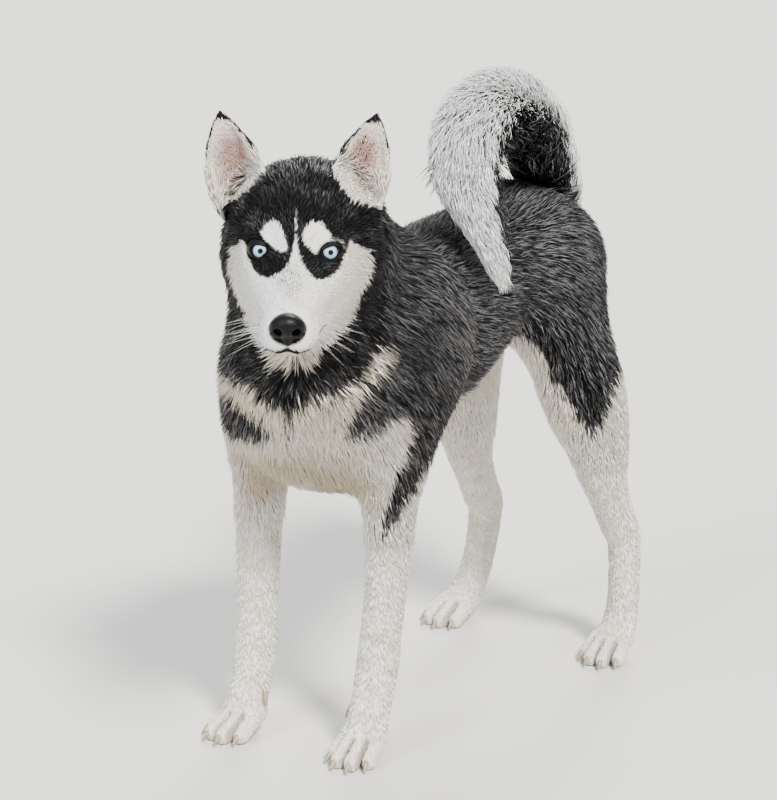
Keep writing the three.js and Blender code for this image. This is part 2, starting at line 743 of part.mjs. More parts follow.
function torsoSolid() {
  const base = mould(core, region(-140, 125, -300, 120, 250, 590), { x: 33, y: 34, z: 31 })
    .intersect(behind(...CUTS.neck))
    .intersect(behind(...CUTS.waist))
    .intersect(behind(...CUTS.elbow));
  return largest(base);
}
function hindquartersSolid() {
  const base = mould(core, region(-140, 125, 80, 330, 330, 590), { x: 33, y: 33, z: 30 })
    .intersect(ahead(...CUTS.waist))
    .intersect(behind(...CUTS.thigh));
  return joined(largest(base), breechLocks([435, 385], 31));
}
function neckSolid() {
  const base = mould(core, region(-135, 195, -350, -100, 300, 690), 29)
    .intersect(ahead(...CUTS.neck))
    .subtract(ahead(...CUTS.nape, -GAP / 2).intersect(ahead(...CUTS.throat, -GAP / 2)));
  return joined(largest(base), ruffLocks());
}
function headSolid() {
  const base = mould(body, region(-20, 230, -500, -210, 460, 690), { x: 12, y: 13.5, z: 11 })
    .intersect(ahead(...CUTS.nape))
    .intersect(ahead(...CUTS.throat));
  return largest(base);
}
function legSolid(top, box, step) {
  return largest(mould(core, box, step).intersect(ahead(...top)).intersect(behind(...CUTS.wrist)));
}
function pawSolid(foot) {
  const { x, y } = foot;
  const base = mould(body, region(x - 42, x + 42, y - 45, y + 60, -5, 84), { x: 10.2, y: 11.5, z: 14 })
    .intersect(ahead(...CUTS.wrist))
    .intersect(ahead(...CUTS.floor, 0));
  return joined(largest(base), claws(foot));
}

// Claws in front of the toes, and on a forepaw the dewclaw on its inner side.
function claws({ x, y, toeOut, dewclaw }) {
  const turn = new THREE.Matrix4().makeRotationZ(THREE.MathUtils.degToRad(toeOut));
  turn.setPosition(x, y, 0);
  const level = TOE_HEIGHT + 0.5;
  const onToe = ([tx, ty, r]) => ({ at: [tx * 1.06, ty - r * 0.72, level], fan: tx * 0.012, dip: 0.5 });
  const spots = TOES.map(onToe);
  if (dewclaw) spots.push({ at: [dewclaw * 22, 22, 47], fan: dewclaw * 0.5, dip: 1.15 });
  return spots.map(({ at, fan, dip }) => {
    const cone = new THREE.ConeGeometry(CLAW.radius, CLAW.length, 5);
    cone.rotateX(Math.PI / 2 + dip + Math.PI);
    cone.rotateZ(fan);
    const forward = vec([Math.sin(fan), -Math.cos(dip), -Math.sin(dip)]);
    const middle = vec(at).addScaledVector(forward, CLAW.length * 0.22);
    cone.translate(middle.x, middle.y, middle.z);
    cone.applyMatrix4(turn);
    return solid(cone);
  });
}

// The ruff: rows of locks round the neck and down the chest, lying back and down.
function ruffLocks() {
  const side = new THREE.Vector3(1, 0.3, 0);
  const top = new THREE.Vector3(60, -282, 572);
  const foot = new THREE.Vector3(-2, -160, 478);
  const axis = foot.clone().sub(top).normalize();
  const rows = [0.04, 0.34, 0.64].map((t, i) => ({
    from: top.clone().lerp(foot, t), ahead: axis, side, count: 9, start: i * 14, end: 360 + i * 14,
  }));
  const down = new THREE.Vector3(0, 0, -1);
  rows.push({ from: new THREE.Vector3(18, -205, 455), ahead: down, side, count: 5, start: 195, end: 350 });
  rows.push({ from: new THREE.Vector3(0, -190, 400), ahead: down, side, count: 4, start: 205, end: 340 });
  const lie = () => new THREE.Vector3(-0.3, 0.42, -0.86);
  return lockRows(core, rows, lie, RUFF, 11);
}

// Breeches: locks on the back of the thighs, hanging down and back.
function breechLocks(heights, seed) {
  const down = new THREE.Vector3(0, 0, -1);
  const lie = () => new THREE.Vector3(0, 0.28, -1);
  const rows = [];
  for (const side of [-1, 1]) {
    heights.forEach((z) => rows.push({
      from: new THREE.Vector3(MID + side * (60 + (440 - z) * 0.14), 205, z),
      ahead: down, side: X_AXIS, count: 4, start: -155, end: -30,
    }));
  }
  return lockRows(core, rows, lie, BREECHES, seed);
}

// Cheek locks behind the jaw, lying back and down.
function cheekLocks() {
  const lie = () => vec([0, 0.5, -0.6]).transformDirection(headPlace);
  const rows = [];
  for (const side of [-1, 1]) {
    rows.push({
      from: vec([side * 20, 44, -40]).applyMatrix4(headPlace),
      ahead: vec([0, 1, 0]).transformDirection(headPlace),
      side: vec([side, 0, 0]).transformDirection(headPlace),
      count: 3, start: -side * 8, end: -side * 62,
    });
  }
  return lockRows(body, rows, lie, CHEEK, 5);
}

function eyeSolid(side) {
  const ball = new THREE.SphereGeometry(EYE.radius * HEAD.size, 11, 7);
  const centre = vec([EYE.x * side, EYE.y, EYE.z]).applyMatrix4(headPlace);
  ball.translate(centre.x, centre.y, centre.z);
  return solid(ball);
}

// Lids: a shell over the eye, later opened by the almond-shaped slit between them.
function lidSolid(side) {
  const shell = new THREE.SphereGeometry(LIDS.radius, 11, 7);
  shell.translate(EYE.x * side, EYE.y, EYE.z);
  shell.applyMatrix4(headPlace);
  return solid(shell);
}
function lidOpening(side) {
  const almond = new THREE.SphereGeometry(1, 12, 6);
  almond.scale(LIDS.wide, LIDS.radius, LIDS.high);
  almond.rotateY(-side * THREE.MathUtils.degToRad(LIDS.tilt));
  almond.translate(side * (EYE.x + 1), EYE.y - LIDS.radius, EYE.z);
  almond.applyMatrix4(headPlace);
  return solid(almond);
}

// The line of the mouth: a groove along the surface of the muzzle, from under the nose to both corners.
function mouthGroove() {
  const right = MOUTH.line.slice(1).reverse().map(([x, y, z]) => [-x, y, z]);
  const points = [...right, ...MOUTH.line].map((point) => {
    const q = vec(point).applyMatrix4(headPlace);
    drawOn(q, body, 12);
    return q;
  });
  const path = new THREE.CatmullRomCurve3(points);
  const section = new THREE.Shape();
  section.absarc(0, 0, MOUTH.radius, 0, Math.PI * 2);
  return solid(new THREE.ExtrudeGeometry(section, { steps: 14, extrudePath: path, curveSegments: 3 }));
}

function noseSolid() {
  const wing = mirrored(ellipsoid([10.5, NOSE.y + 4, NOSE.z - 3], [8.5, 8, 8.5]));
  const pad = ellipsoid([0, NOSE.y, NOSE.z + 2], [NOSE.wide / 2 - 2, NOSE.deep / 2, NOSE.high / 2 - 2]);
  const form = inHeadFrame(blend(7, [pad, wing]));
  const c = vec([0, NOSE.y, NOSE.z]).applyMatrix4(headPlace);
  const whole = mould(form, region(c.x - 26, c.x + 26, c.y - 24, c.y + 24, c.z - 20, c.z + 20), 7);
  return [-1, 1].reduce((made, side) => {
    const nostril = new THREE.SphereGeometry(1, 7, 5);
    nostril.scale(3.2, 7, 3.4);
    nostril.rotateZ(side * 0.5);
    nostril.translate(side * 9.5, NOSE.y - 8, NOSE.z - 3);
    nostril.applyMatrix4(headPlace);
    return made.subtract(solid(nostril));
  }, whole);
}

// Ear: a hollow shell between its inner and outer edges, open to the front.
function earSolid(side) {
  const curve = (points) => new THREE.CatmullRomCurve3(points.map(([x, y, z]) => vec([x * side, y, z])));
  const inner = curve(EAR.inner);
  const outer = curve(EAR.outer);
  const rings = 7;
  const arc = 6;
  const position = [];
  for (let r = 0; r <= rings; r += 1) {
    const t = Math.min(r / rings, 0.985);
    const a = inner.getPoint(t);
    const b = outer.getPoint(t);
    const centre = a.clone().lerp(b, 0.5);
    const across = b.clone().sub(a).multiplyScalar(0.5);
    const depth = THREE.MathUtils.lerp(EAR.depth[0], EAR.depth[1], t ** 0.8);
    const wall = THREE.MathUtils.lerp(EAR.wall[0], EAR.wall[1], t);
    for (let i = 0; i <= arc; i += 1) {
      const angle = Math.PI * i / arc;
      const p = centre.clone().addScaledVector(across, -Math.cos(angle));
      position.push(p.x, p.y + depth * Math.sin(angle), p.z);
    }
    for (let i = arc - 1; i > 0; i -= 1) {
      const angle = Math.PI * i / arc;
      const p = centre.clone().addScaledVector(across, -Math.cos(angle) * 0.86);
      position.push(p.x, p.y + Math.max(depth - wall, 0.5) * Math.sin(angle) - 0.6, p.z);
    }
  }
  const around = 2 * arc;
  const index = [];
  for (let r = 0; r < rings; r += 1) {
    for (let i = 0; i < around; i += 1) {
      const j = (i + 1) % around;
      const [p0, p1, p2, p3] = [r * around + i, r * around + j, (r + 1) * around + j, (r + 1) * around + i];
      index.push(p0, p1, p2, p0, p2, p3);
    }
  }
  for (const [r, turn] of [[0, 0], [rings, 1]]) {
    for (let i = 1; i < arc; i += 1) {
      const [outA, outB] = [r * around + i - 1, r * around + i];
      const innerOf = (k) => (k === 0 || k === arc ? r * around + k : r * around + around - k);
      const [inA, inB] = [innerOf(i - 1), innerOf(i)];
      const faces = inA === outA ? [[outA, outB, inB]] : [[outA, outB, inB], [outA, inB, inA]];
      for (const face of faces) index.push(...(turn ? face : face.reverse()));
    }
    const last = [r * around + arc - 1, r * around + arc, r * around + arc + 1];
    index.push(...(turn ? last : last.reverse()));
  }
  const geometry = new THREE.BufferGeometry();
  geometry.setAttribute('position', new THREE.Float32BufferAttribute(position, 3));
  geometry.setIndex(index);
  geometry.applyMatrix4(headPlace);
  const made = solid(geometry);
  return made.volume() > 0 ? made : solid(flipped(geometry));
}

// Tail lengths: first and last station of each.
const TAIL_LENGTHS = {
  tail_root: [0, 4],
  tail_rise: [4, 6],
  tail_top: [6, 9],
  tail_fall: [9, 12],
  tail_tip: [12, 14],
};
const tailCore = chain(TAIL.map(([x, y, z, reach]) => [x, y, z, reach * TAIL_CORE]));
function tailCut(i) {
  const before = vec(TAIL[i - 1]);
  const after = vec(TAIL[i + 1]);
  return [TAIL[i].slice(0, 3), after.sub(before).normalize().toArray()];
}
const tailCurve = new THREE.CatmullRomCurve3(TAIL.map(vec));
function tailSolid(first, last, seed) {
  const stations = TAIL.slice(Math.max(0, first - 1), last + 2);
  const box = new THREE.Box3().setFromPoints(stations.map(vec)).expandByScalar(30);
  let length = mould(tailCore, box, 18);
  if (first > 0) length = length.intersect(ahead(...tailCut(first)));
  if (last < TAIL.length - 1) length = length.intersect(behind(...tailCut(last)));
  const locks = [];
  let at = first + 0.25;
  while (at < last - 0.15) {
    const station = Math.floor(at);
    const from = tailCurve.getPoint(at / (TAIL.length - 1));
    const along = tailCurve.getTangent(at / (TAIL.length - 1));
    const side = X_AXIS.clone().addScaledVector(along, -along.x).normalize();
    const reach = TAIL[station][3];
    const share = Math.max(reach / PLUME.fullest, 0.65);
    const size = {
      depth: reach * (1 - TAIL_CORE),
      length: PLUME.length * share,
      wide: PLUME.wide * share,
      thick: PLUME.thick,
    };
    const start = locks.length * PLUME.stagger;
    const row = { from, ahead: along, side, count: PLUME.around, start, end: start + 360 };
    locks.push(...lockRows(tailCore, [row], () => along.clone(), size, seed + locks.length));
    at += PLUME.pitch * share / vec(TAIL[station]).distanceTo(vec(TAIL[station + 1]));
  }
  return joined(largest(length), locks);
}

const COLOURS = {
  coat: 0x3b3b40,
  white: 0xe9e6e0,
  mask: 0xdedbd6,
  nose: 0x121214,
  eye: 0x9fc4e6,
  plume: 0xd8d8d8,
  ear: 0x57504c,
};
const husky = new THREE.Group();
function add(name, manifold, colour, roughness = 0.9) {
  const material = new THREE.MeshStandardMaterial({ color: colour, roughness, metalness: 0 });
  const mesh = new THREE.Mesh(snapped(manifold), material);
  mesh.name = name;
  husky.add(mesh);
}

const eyes = { left: eyeSolid(1), right: eyeSolid(-1) };
const nose = noseSolid();
const cutClear = (piece, others, by = CLEARANCE) => (
  others.reduce((left, other) => left.subtract(grown(other, by)).subtract(other), piece)
);
const clearOf = (piece, others) => largest(cutClear(piece, others));

let head = headSolid();
for (const side of [-1, 1]) head = head.add(lidSolid(side));
head = cutClear(head, [eyes.left, eyes.right, nose], GAP);
for (const side of [-1, 1]) head = head.subtract(lidOpening(side));
head = joined(head.subtract(mouthGroove()), cheekLocks());
const ears = { left: earSolid(1), right: earSolid(-1) };

const legs = {
  foreleg_left: legSolid(CUTS.elbow, region(20, 125, -215, -85, 50, 300), { x: 15, y: 16, z: 32 }),
  foreleg_right: legSolid(CUTS.elbow, region(-145, -40, -240, -105, 50, 300), { x: 15, y: 16, z: 32 }),
  hind_leg_left: legSolid(CUTS.thigh, region(30, 145, 100, 330, 50, 372), { x: 18, y: 19, z: 29 }),
  hind_leg_right: legSolid(CUTS.thigh, region(-155, -45, 100, 330, 50, 372), { x: 18, y: 19, z: 29 }),
};
const torso = torsoSolid();
const hindquarters = clearOf(hindquartersSolid(), [torso, legs.hind_leg_left, legs.hind_leg_right]);
const neck = clearOf(neckSolid(), [torso, head, legs.foreleg_left, legs.foreleg_right]);

add('torso', torso, COLOURS.coat);
add('hindquarters', hindquarters, COLOURS.coat);
add('neck', neck, COLOURS.coat);
add('head', head, COLOURS.mask);
add('nose', nose, COLOURS.nose, 0.35);
for (const name of ['left', 'right']) {
  add(`ear_${name}`, clearOf(ears[name], [head, neck]), COLOURS.ear);
  add(`eye_${name}`, eyes[name], COLOURS.eye, 0.1);
}
for (const [name, leg] of Object.entries(legs)) add(name, leg, COLOURS.white);
for (const [name, foot] of Object.entries(FEET)) add(name, pawSolid(foot), COLOURS.white);
let before = [torso, hindquarters];
Object.entries(TAIL_LENGTHS).forEach(([name, [first, last]], i) => {
  const length = clearOf(tailSolid(first, last, 500 + 20 * i), before);
  before = [...before, length];
  add(name, length, COLOURS.plume);
});
// The model's origin is the middle of the floor rectangle that holds the whole dog.
const middle = new THREE.Box3().setFromObject(husky).getCenter(new THREE.Vector3());
husky.children.forEach((mesh) => mesh.geometry.translate(-middle.x, -middle.y, 0));

export default husky;
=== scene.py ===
import math

import bpy
import numpy as np
from mathutils import Matrix, Vector


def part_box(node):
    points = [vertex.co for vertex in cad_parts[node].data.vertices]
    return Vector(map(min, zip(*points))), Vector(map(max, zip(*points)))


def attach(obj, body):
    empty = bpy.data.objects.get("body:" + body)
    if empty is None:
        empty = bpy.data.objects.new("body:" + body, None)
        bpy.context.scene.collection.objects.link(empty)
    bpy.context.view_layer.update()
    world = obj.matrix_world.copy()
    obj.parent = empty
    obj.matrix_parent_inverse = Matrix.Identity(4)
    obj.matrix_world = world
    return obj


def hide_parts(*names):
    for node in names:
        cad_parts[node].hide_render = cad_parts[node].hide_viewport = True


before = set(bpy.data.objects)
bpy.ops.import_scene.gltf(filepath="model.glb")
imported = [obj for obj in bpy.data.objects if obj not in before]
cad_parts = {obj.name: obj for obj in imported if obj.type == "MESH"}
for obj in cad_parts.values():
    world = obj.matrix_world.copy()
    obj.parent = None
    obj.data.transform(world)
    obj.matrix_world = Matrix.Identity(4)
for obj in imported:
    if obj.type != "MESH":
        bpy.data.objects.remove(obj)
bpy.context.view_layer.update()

# Siberian husky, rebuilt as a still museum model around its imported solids.
# Forms are worked out in millimetres in the dog's own frame: it faces -Y, its left is +X and the
# floor is Z = 0.

# The middle of the trunk, across the dog.
MID = -10.0

# Trunk stations: y, back line, belly line, half width, widest level, roundness above and below it.
TRUNK = [
    [-235, 490, 350, 60, 0.50, 2.25, 2.25],
    [-205, 525, 312, 84, 0.50, 2.25, 2.25],
    [-160, 552, 292, 100, 0.52, 2.25, 2.25],
    [-110, 558, 288, 106, 0.54, 2.25, 2.25],
    [-50, 554, 292, 107, 0.56, 2.25, 2.25],
    [10, 555, 304, 105, 0.56, 2.25, 2.25],
    [60, 560, 330, 98, 0.57, 2.25, 2.25],
    [110, 563, 362, 88, 0.57, 2.25, 2.25],
    [165, 564, 382, 84, 0.58, 2.25, 2.25],
    [210, 556, 392, 78, 0.60, 2.25, 2.25],
    [242, 542, 402, 68, 0.62, 2.25, 2.25],
    [266, 520, 415, 52, 0.62, 2.25, 2.25],
]
TRUNK_END = 26
# Legs from the top down: x, y, z, radius fore and aft, width as a share of it.
FORELEG_LEFT = [
    [62, -115, 420, 62, 0.55], [72, -142, 335, 49, 0.62], [71, -148, 280, 35.5, 0.74],
    [70, -148, 240, 30.5, 0.84], [66, -146, 180, 25.5, 0.90], [60, -145, 125, 23.5, 0.98],
    [58, -144, 104, 24.5, 0.98], [57, -150, 68, 23, 1.0], [58, -162, 30, 21, 1.15],
]
FORELEG_RIGHT = [
    [-84, -120, 420, 62, 0.55], [-88, -160, 335, 49, 0.62], [-87, -168, 280, 35.5, 0.74],
    [-86, -170, 240, 31.5, 0.84], [-85, -172, 180, 26.5, 0.90], [-84, -174, 120, 23.5, 0.98],
    [-84, -174, 97, 24.5, 0.98], [-83, -180, 65, 23, 1.0], [-82, -192, 30, 21, 1.15],
]
HIND_LEG_LEFT = [
    [44, 204, 450, 72, 0.52], [61, 198, 390, 74, 0.54], [78, 210, 330, 68, 0.58],
    [87, 226, 284, 52, 0.66], [91, 234, 242, 39, 0.76], [94, 248, 205, 28.5, 0.84],
    [97, 270, 163, 25.5, 0.82], [98, 283, 144, 24.5, 0.80], [100, 286, 92, 22, 0.88],
    [101, 283, 48, 21, 0.98], [102, 272, 26, 20, 1.15],
]
HIND_LEG_RIGHT = [
    [-64, 202, 445, 72, 0.52], [-79, 196, 385, 74, 0.54], [-90, 208, 322, 66, 0.60],
    [-95, 226, 270, 50, 0.68], [-97, 238, 228, 37, 0.76], [-99, 253, 196, 28.5, 0.84],
    [-102, 276, 158, 26.5, 0.84], [-104, 290, 138, 26, 0.80], [-108, 288, 84, 22.5, 0.88],
    [-111, 277, 46, 21, 0.98], [-112, 262, 26, 20, 1.15],
]
# Feet: x, y, degrees that they toe out, side of the dewclaw.
FEET = [(60, -180, 8, -1), (-82, -210, -6, 1), (103, 248, 6, 0), (-113, 233, -8, 0)]
TOES = [[-20.5, -11, 11], [-7.8, -24, 11.5], [7.8, -24, 11.5], [20.5, -11, 11]]
TOE_HEIGHT = 8.7
# Tail from root to tip: x, y, z, reach of its hair.
TAIL = [
    [-10, 256, 500, 32], [-10, 272, 520, 34], [-10, 266, 547, 38], [-9, 251, 579, 42],
    [-7, 219, 618, 44], [-2, 180, 643, 44], [6, 122, 658, 43], [13, 80, 656, 42],
    [20, 44, 643, 40], [28, 22, 615, 37], [42, 11, 582, 33], [60, 4, 557, 29],
    [78, -2, 534, 25], [94, -5, 503, 19], [102, 6, 470, 12],
]
# The head's own frame has its origin between the eyes, x to its left, y back and z up.
HEAD_ORIGIN = np.array([98.0, -350.0, 579.0])
HEAD_TURN, HEAD_NOD, HEAD_LEAN, HEAD_SIZE = 35.9, -5.0, 0.8, 0.985
SKULL = [
    [-102, -28, -70, 21, 0.46, 2.0, 2.3],
    [-88, -24, -75, 26, 0.46, 2.0, 2.4],
    [-60, -19, -78, 29, 0.46, 1.9, 2.5],
    [-36, -11, -81, 34, 0.47, 1.9, 2.5],
    [-18, -1, -84, 42, 0.50, 2.0, 2.4],
    [-4, 19, -87, 51, 0.52, 2.1, 2.3],
    [10, 35, -91, 60, 0.50, 2.2, 2.2],
    [30, 47, -97, 68, 0.49, 2.2, 2.2],
    [60, 57, -104, 75, 0.48, 2.2, 2.2],
    [90, 60, -109, 78, 0.48, 2.2, 2.2],
    [124, 56, -110, 76, 0.48, 2.2, 2.2],
]
SKULL_END = 8
EYE = (33.0, 0.0, 0.0)
EYE_RADIUS = 11.0
# Ear edges by height in the head's frame: z, x; the cup's front edge and its depth by height.
EAR_INNER = [[40, 27], [62, 31], [88, 46], [105, 62], [114, 75]]
EAR_OUTER = [[4, 72], [32, 84], [56, 89.5], [82, 88.5], [104, 82], [113, 77]]
EAR_FRONT = [[4, 69], [40, 65], [62, 64], [88, 68], [114, 78]]
EAR_DEPTH = [[10, 33], [40, 28], [70, 19], [95, 11], [114, 4]]
EAR_TOP = 114.0

# Distance fields: negative inside, about true millimetres near the surface.
FAR = 200.0
GROUP_MARGIN = 80.0
LINK_MARGIN = 45.0


def in_box(p, lo, hi, margin):
    return np.all((p > lo - margin) & (p < hi + margin), axis=1)


def kept(fn, lo, hi, margin):
    """The field fn, worked out only near its box."""
    lo, hi = np.array(lo, float), np.array(hi, float)

    def field(p):
        out = np.full(len(p), FAR)
        near = in_box(p, lo, hi, margin)
        if near.any():
            out[near] = fn(p[near])
        return out

    field.lo, field.hi = lo, hi
    return field


def capsule(a, b, ra, rb, fa=1.0, fb=None, side=(1, 0, 0), margin=GROUP_MARGIN):
    """Tapered capsule from a to b, its width across side scaled by fa at a and fb at b."""
    a, b = np.array(a, float), np.array(b, float)
    fb = fa if fb is None else fb
    along = b - a
    length2 = along @ along
    across = np.array(side, float) / np.linalg.norm(side)

    def fn(p):
        q = p - a
        t = np.clip(q @ along / length2, 0, 1)
        q = q - t[:, None] * along
        f = fa + (fb - fa) * t
        s = q @ across
        reach = np.sqrt((q * q).sum(1) + s * s * (1 / (f * f) - 1) + 1e-9)
        return (reach - ra - (rb - ra) * t) * np.minimum(1, f)

    reach = max(ra, rb) * max(1, fa, fb)
    return kept(fn, np.minimum(a, b) - reach, np.maximum(a, b) + reach, margin)


def ellipsoid(centre, radii):
    c, r = np.array(centre, float), np.array(radii, float)

    def fn(p):
        q = p - c
        near = np.sqrt(((q / r) ** 2).sum(1))
        slope = np.sqrt(((q / r ** 2) ** 2).sum(1)) + 1e-9
        return near * (near - 1) / slope

    return kept(fn, c - r, c + r, GROUP_MARGIN)


def smooth_min(a, b, k):
    h = np.clip(k - np.abs(a - b), 0, None) / k
    return np.minimum(a, b) - h * h * k * 0.25


def smooth_max(a, b, k):
    return -smooth_min(-a, -b, k)


def blended(k, fields, margin=GROUP_MARGIN):
    """Fields joined with fillets of about k."""
    def fn(p):
        d = fields[0](p)
        for field in fields[1:]:
            d = smooth_min(d, field(p), k)
        return d

    lo = np.min([f.lo for f in fields], axis=0)
    hi = np.max([f.hi for f in fields], axis=0)
    return kept(fn, lo, hi, margin)


def curve_at(table, column, at):
    """Smooth curve through the stations of a table, its first column against another."""
    x = np.array([row[0] for row in table], float)
    y = np.array([row[column] for row in table], float)
    h = np.diff(x)
    rise = np.diff(y) / h
    slope = np.empty(len(x))
    slope[0], slope[-1] = rise[0], rise[-1]
    slope[1:-1] = (rise[:-1] * h[1:] + rise[1:] * h[:-1]) / (h[:-1] + h[1:])
    v = np.clip(at, x[0], x[-1])
    i = np.clip(np.searchsorted(x, v) - 1, 0, len(h) - 1)
    t = (v - x[i]) / h[i]
    t2, t3 = t * t, t * t * t
    return ((2 * t3 - 3 * t2 + 1) * y[i] + (t3 - 2 * t2 + t) * h[i] * slope[i]
            + (3 * t2 - 2 * t3) * y[i + 1] + (t3 - t2) * h[i] * slope[i + 1])


def loft(table, middle, end):
    """A body along Y with superelliptic sections, from stations as in TRUNK, rounded off by end."""
    first, last = table[0][0], table[-1][0]

    def fn(p):
        y = np.clip(p[:, 1], first, last)
        high, low, width, level, above, below = (curve_at(table, c, y) for c in range(1, 7))
        widest = low + (high - low) * level
        up = p[:, 2] > widest
        height = np.where(up, high - widest, widest - low)
        n = np.where(up, above, below)
        e = (np.abs((p[:, 0] - middle) / width) ** n + np.abs((p[:, 2] - widest) / height) ** n
             + np.abs((p[:, 1] - y) / end) ** n) ** (1 / n)
        return (e - 1) * np.minimum(np.minimum(width, height), end + 20) * 0.95

    half = max(row[3] for row in table)
    lo = [middle - half, first - end, min(row[2] for row in table)]
    hi = [middle + half, last + end, max(row[1] for row in table)]
    return kept(fn, lo, hi, GROUP_MARGIN)


def refine(rows, between):
    """A smooth curve through rows of numbers, with so many steps between two rows."""
    rows = np.array(rows, float)
    out = []
    for i in range(len(rows) - 1):
        before, a, b, after = (rows[min(max(n, 0), len(rows) - 1)] for n in (i - 1, i, i + 1, i + 2))
        start, end, rise = (b - before) / 2, (after - a) / 2, b - a
        for n in range(between):
            t = n / between
            t2, t3 = t ** 2, t ** 3
            out.append(a + start * t + (3 * rise - 2 * start - end) * t2 + (start + end - 2 * rise) * t3)
    return np.array(out + [rows[-1]])


def chain(table, between=2):
    """Tapered capsules along a smooth curve: x, y, z, radius and, where given, width as a share of it."""
    stations = refine(table, between)
    widths = stations[:, 4] if stations.shape[1] > 4 else np.ones(len(stations))
    links = [
        capsule(a[:3], b[:3], a[3], b[3], fa, fb, margin=LINK_MARGIN)
        for a, b, fa, fb in zip(stations, stations[1:], widths, widths[1:])
    ]
    return blended(1.5, links)


def cos_sin(degrees):
    angle = math.radians(degrees)
    return math.cos(angle), math.sin(angle)


def turned(field, origin, degrees, radius, height):
    """A field given in a frame that stands at origin and is turned about Z."""
    c, s = cos_sin(degrees)
    origin = np.array(origin, float)

    def fn(p):
        q = p - origin
        return field(np.stack([c * q[:, 0] + s * q[:, 1], -s * q[:, 0] + c * q[:, 1], q[:, 2]], 1))

    lo = origin - [radius, radius, 0]
    return kept(fn, lo, origin + [radius, radius, height], GROUP_MARGIN)


PAW_REACH = 60


def paw(x, y, toe_out):
    toes = [
        capsule([tx * 0.85, ty + 22, 21], [tx, ty, TOE_HEIGHT], r, r - 0.5, 0.86)
        for tx, ty, r in TOES
    ]
    foot = blended(4, [capsule([0, 2, 15], [0, 20, 22], 16.5, 17, 1.35), *toes])
    return turned(foot, (x, y, 0), toe_out, PAW_REACH, PAW_REACH)


def rotation(turn, nod, lean):
    """The head's left, back and up as columns."""
    y, p, r = np.radians([turn, nod, lean])
    forward = np.array([np.sin(y) * np.cos(p), -np.cos(y) * np.cos(p), np.sin(p)])
    left = np.array([np.cos(y), np.sin(y), 0])
    up = np.cross(left, -forward)
    return np.stack([left * np.cos(r) + up * np.sin(r), -forward, up * np.cos(r) - left * np.sin(r)], 1)


HEAD_AXES = rotation(HEAD_TURN, HEAD_NOD, HEAD_LEAN)
HEAD_REACH = 190.0


def to_head(p):
    return ((p - HEAD_ORIGIN) / HEAD_SIZE) @ HEAD_AXES


def from_head(p):
    return (np.asarray(p, float) @ HEAD_AXES.T) * HEAD_SIZE + HEAD_ORIGIN


def mirrored(p):
    return np.concatenate([np.abs(p[:, :1]), p[:, 1:]], axis=1)


skull = loft(SKULL, 0, SKULL_END)
brow = ellipsoid([25, 8, 13], [20, 15, 12])
muzzle_side = ellipsoid([13, -90, -53], [13, 15, 13])
chin = ellipsoid([0, -88, -68], [14, 11, 9])
cheek_bone = capsule([34, -4, -26], [16, -62, -34], 13, 10)


def head_form(q):
    m = mirrored(q)
    d = smooth_min(skull(q), brow(m), 10)
    d = smooth_min(d, muzzle_side(m), 9)
    d = smooth_min(d, chin(q), 8)
    return smooth_min(d, cheek_bone(m), 14)


def in_head(fn):
    """A field given in the head's frame."""
    lo, hi = HEAD_ORIGIN - HEAD_REACH, HEAD_ORIGIN + HEAD_REACH
    return kept(lambda p: fn(to_head(p)) * HEAD_SIZE, lo, hi, GROUP_MARGIN)


NECK_SIDE = (1, 0.3, 0)
trunk = loft(TRUNK, MID, TRUNK_END)
chest = blended(40, [
    ellipsoid([MID + 2, -200, 390], [68, 50, 80]),
    ellipsoid([MID, -165, 332], [68, 66, 42]),
    *(ellipsoid([MID + s * 68, -168, 378], [40, 54, 70]) for s in (-1, 1)),
    *(ellipsoid([MID + s * 74, -105, 440], [36, 68, 92]) for s in (-1, 1)),
])
neck = blended(36, [
    capsule([-8, -145, 480], [34, -246, 558], 94, 80, 0.92, 0.98, NECK_SIDE),
    capsule([34, -246, 558], [60, -282, 582], 80, 70, 0.98, 1, NECK_SIDE),
    capsule([22, -222, 440], [48, -274, 528], 84, 72, 0.95, 0.95, NECK_SIDE),
    capsule([-6, -200, 400], [24, -232, 452], 70, 76, 1, 1, NECK_SIDE),
])
croup = blended(40, [
    ellipsoid([MID - 42, 200, 452], [46, 70, 84]),
    ellipsoid([MID + 42, 200, 452], [46, 70, 84]),
    capsule([MID, 218, 494], [MID, 250, 500], 52, 34),
])

LEG_TABLES = [FORELEG_LEFT, FORELEG_RIGHT, HIND_LEG_LEFT, HIND_LEG_RIGHT]
legs = blended(4, [chain(table) for table in LEG_TABLES])
feet = blended(1, [paw(x, y, out) for x, y, out, _ in FEET])
head = in_head(head_form)


def gradient(field, p, e=0.4):
    return np.stack([(field(p + d) - field(p - d)) / (2 * e) for d in np.eye(3) * e], 1)


def unit(v):
    return v / np.maximum(np.linalg.norm(v, axis=-1, keepdims=True), 1e-9)


def smoothstep(low, high, v):
    t = np.clip((v - low) / (high - low), 0, 1)
    return t * t * (3 - 2 * t)


def waves(seed, size, count=9):
    """Smooth noise from -1 to 1 over lengths of about size, the same on every run."""
    rng = np.random.default_rng(seed)
    ways = unit(rng.normal(size=(count, 3))) * (2 * np.pi / size) * rng.uniform(0.6, 1.7, (count, 1))
    phases = rng.uniform(0, 2 * np.pi, count)
    return lambda p: np.sin(p @ ways.T + phases).sum(1) / math.sqrt(count)


# The parts of the body, in the order in which they are blended, and the fillet with which each one
# joins the parts before it.
PART_FILLETS = (40, 45, 40, 26, 8, 26)
LEG_PART, FOOT_PART, HEAD_PART = 4, 5, 6
PART_BLEND = 11.0


def part_fields(p):
    return [trunk(p), chest(p), neck(p), croup(p), legs(p), feet(p), head(p)]


def joined_body(parts):
    d = parts[0]
    for part, k in zip(parts[1:], PART_FILLETS):
        d = smooth_min(d, part, k)
    return d


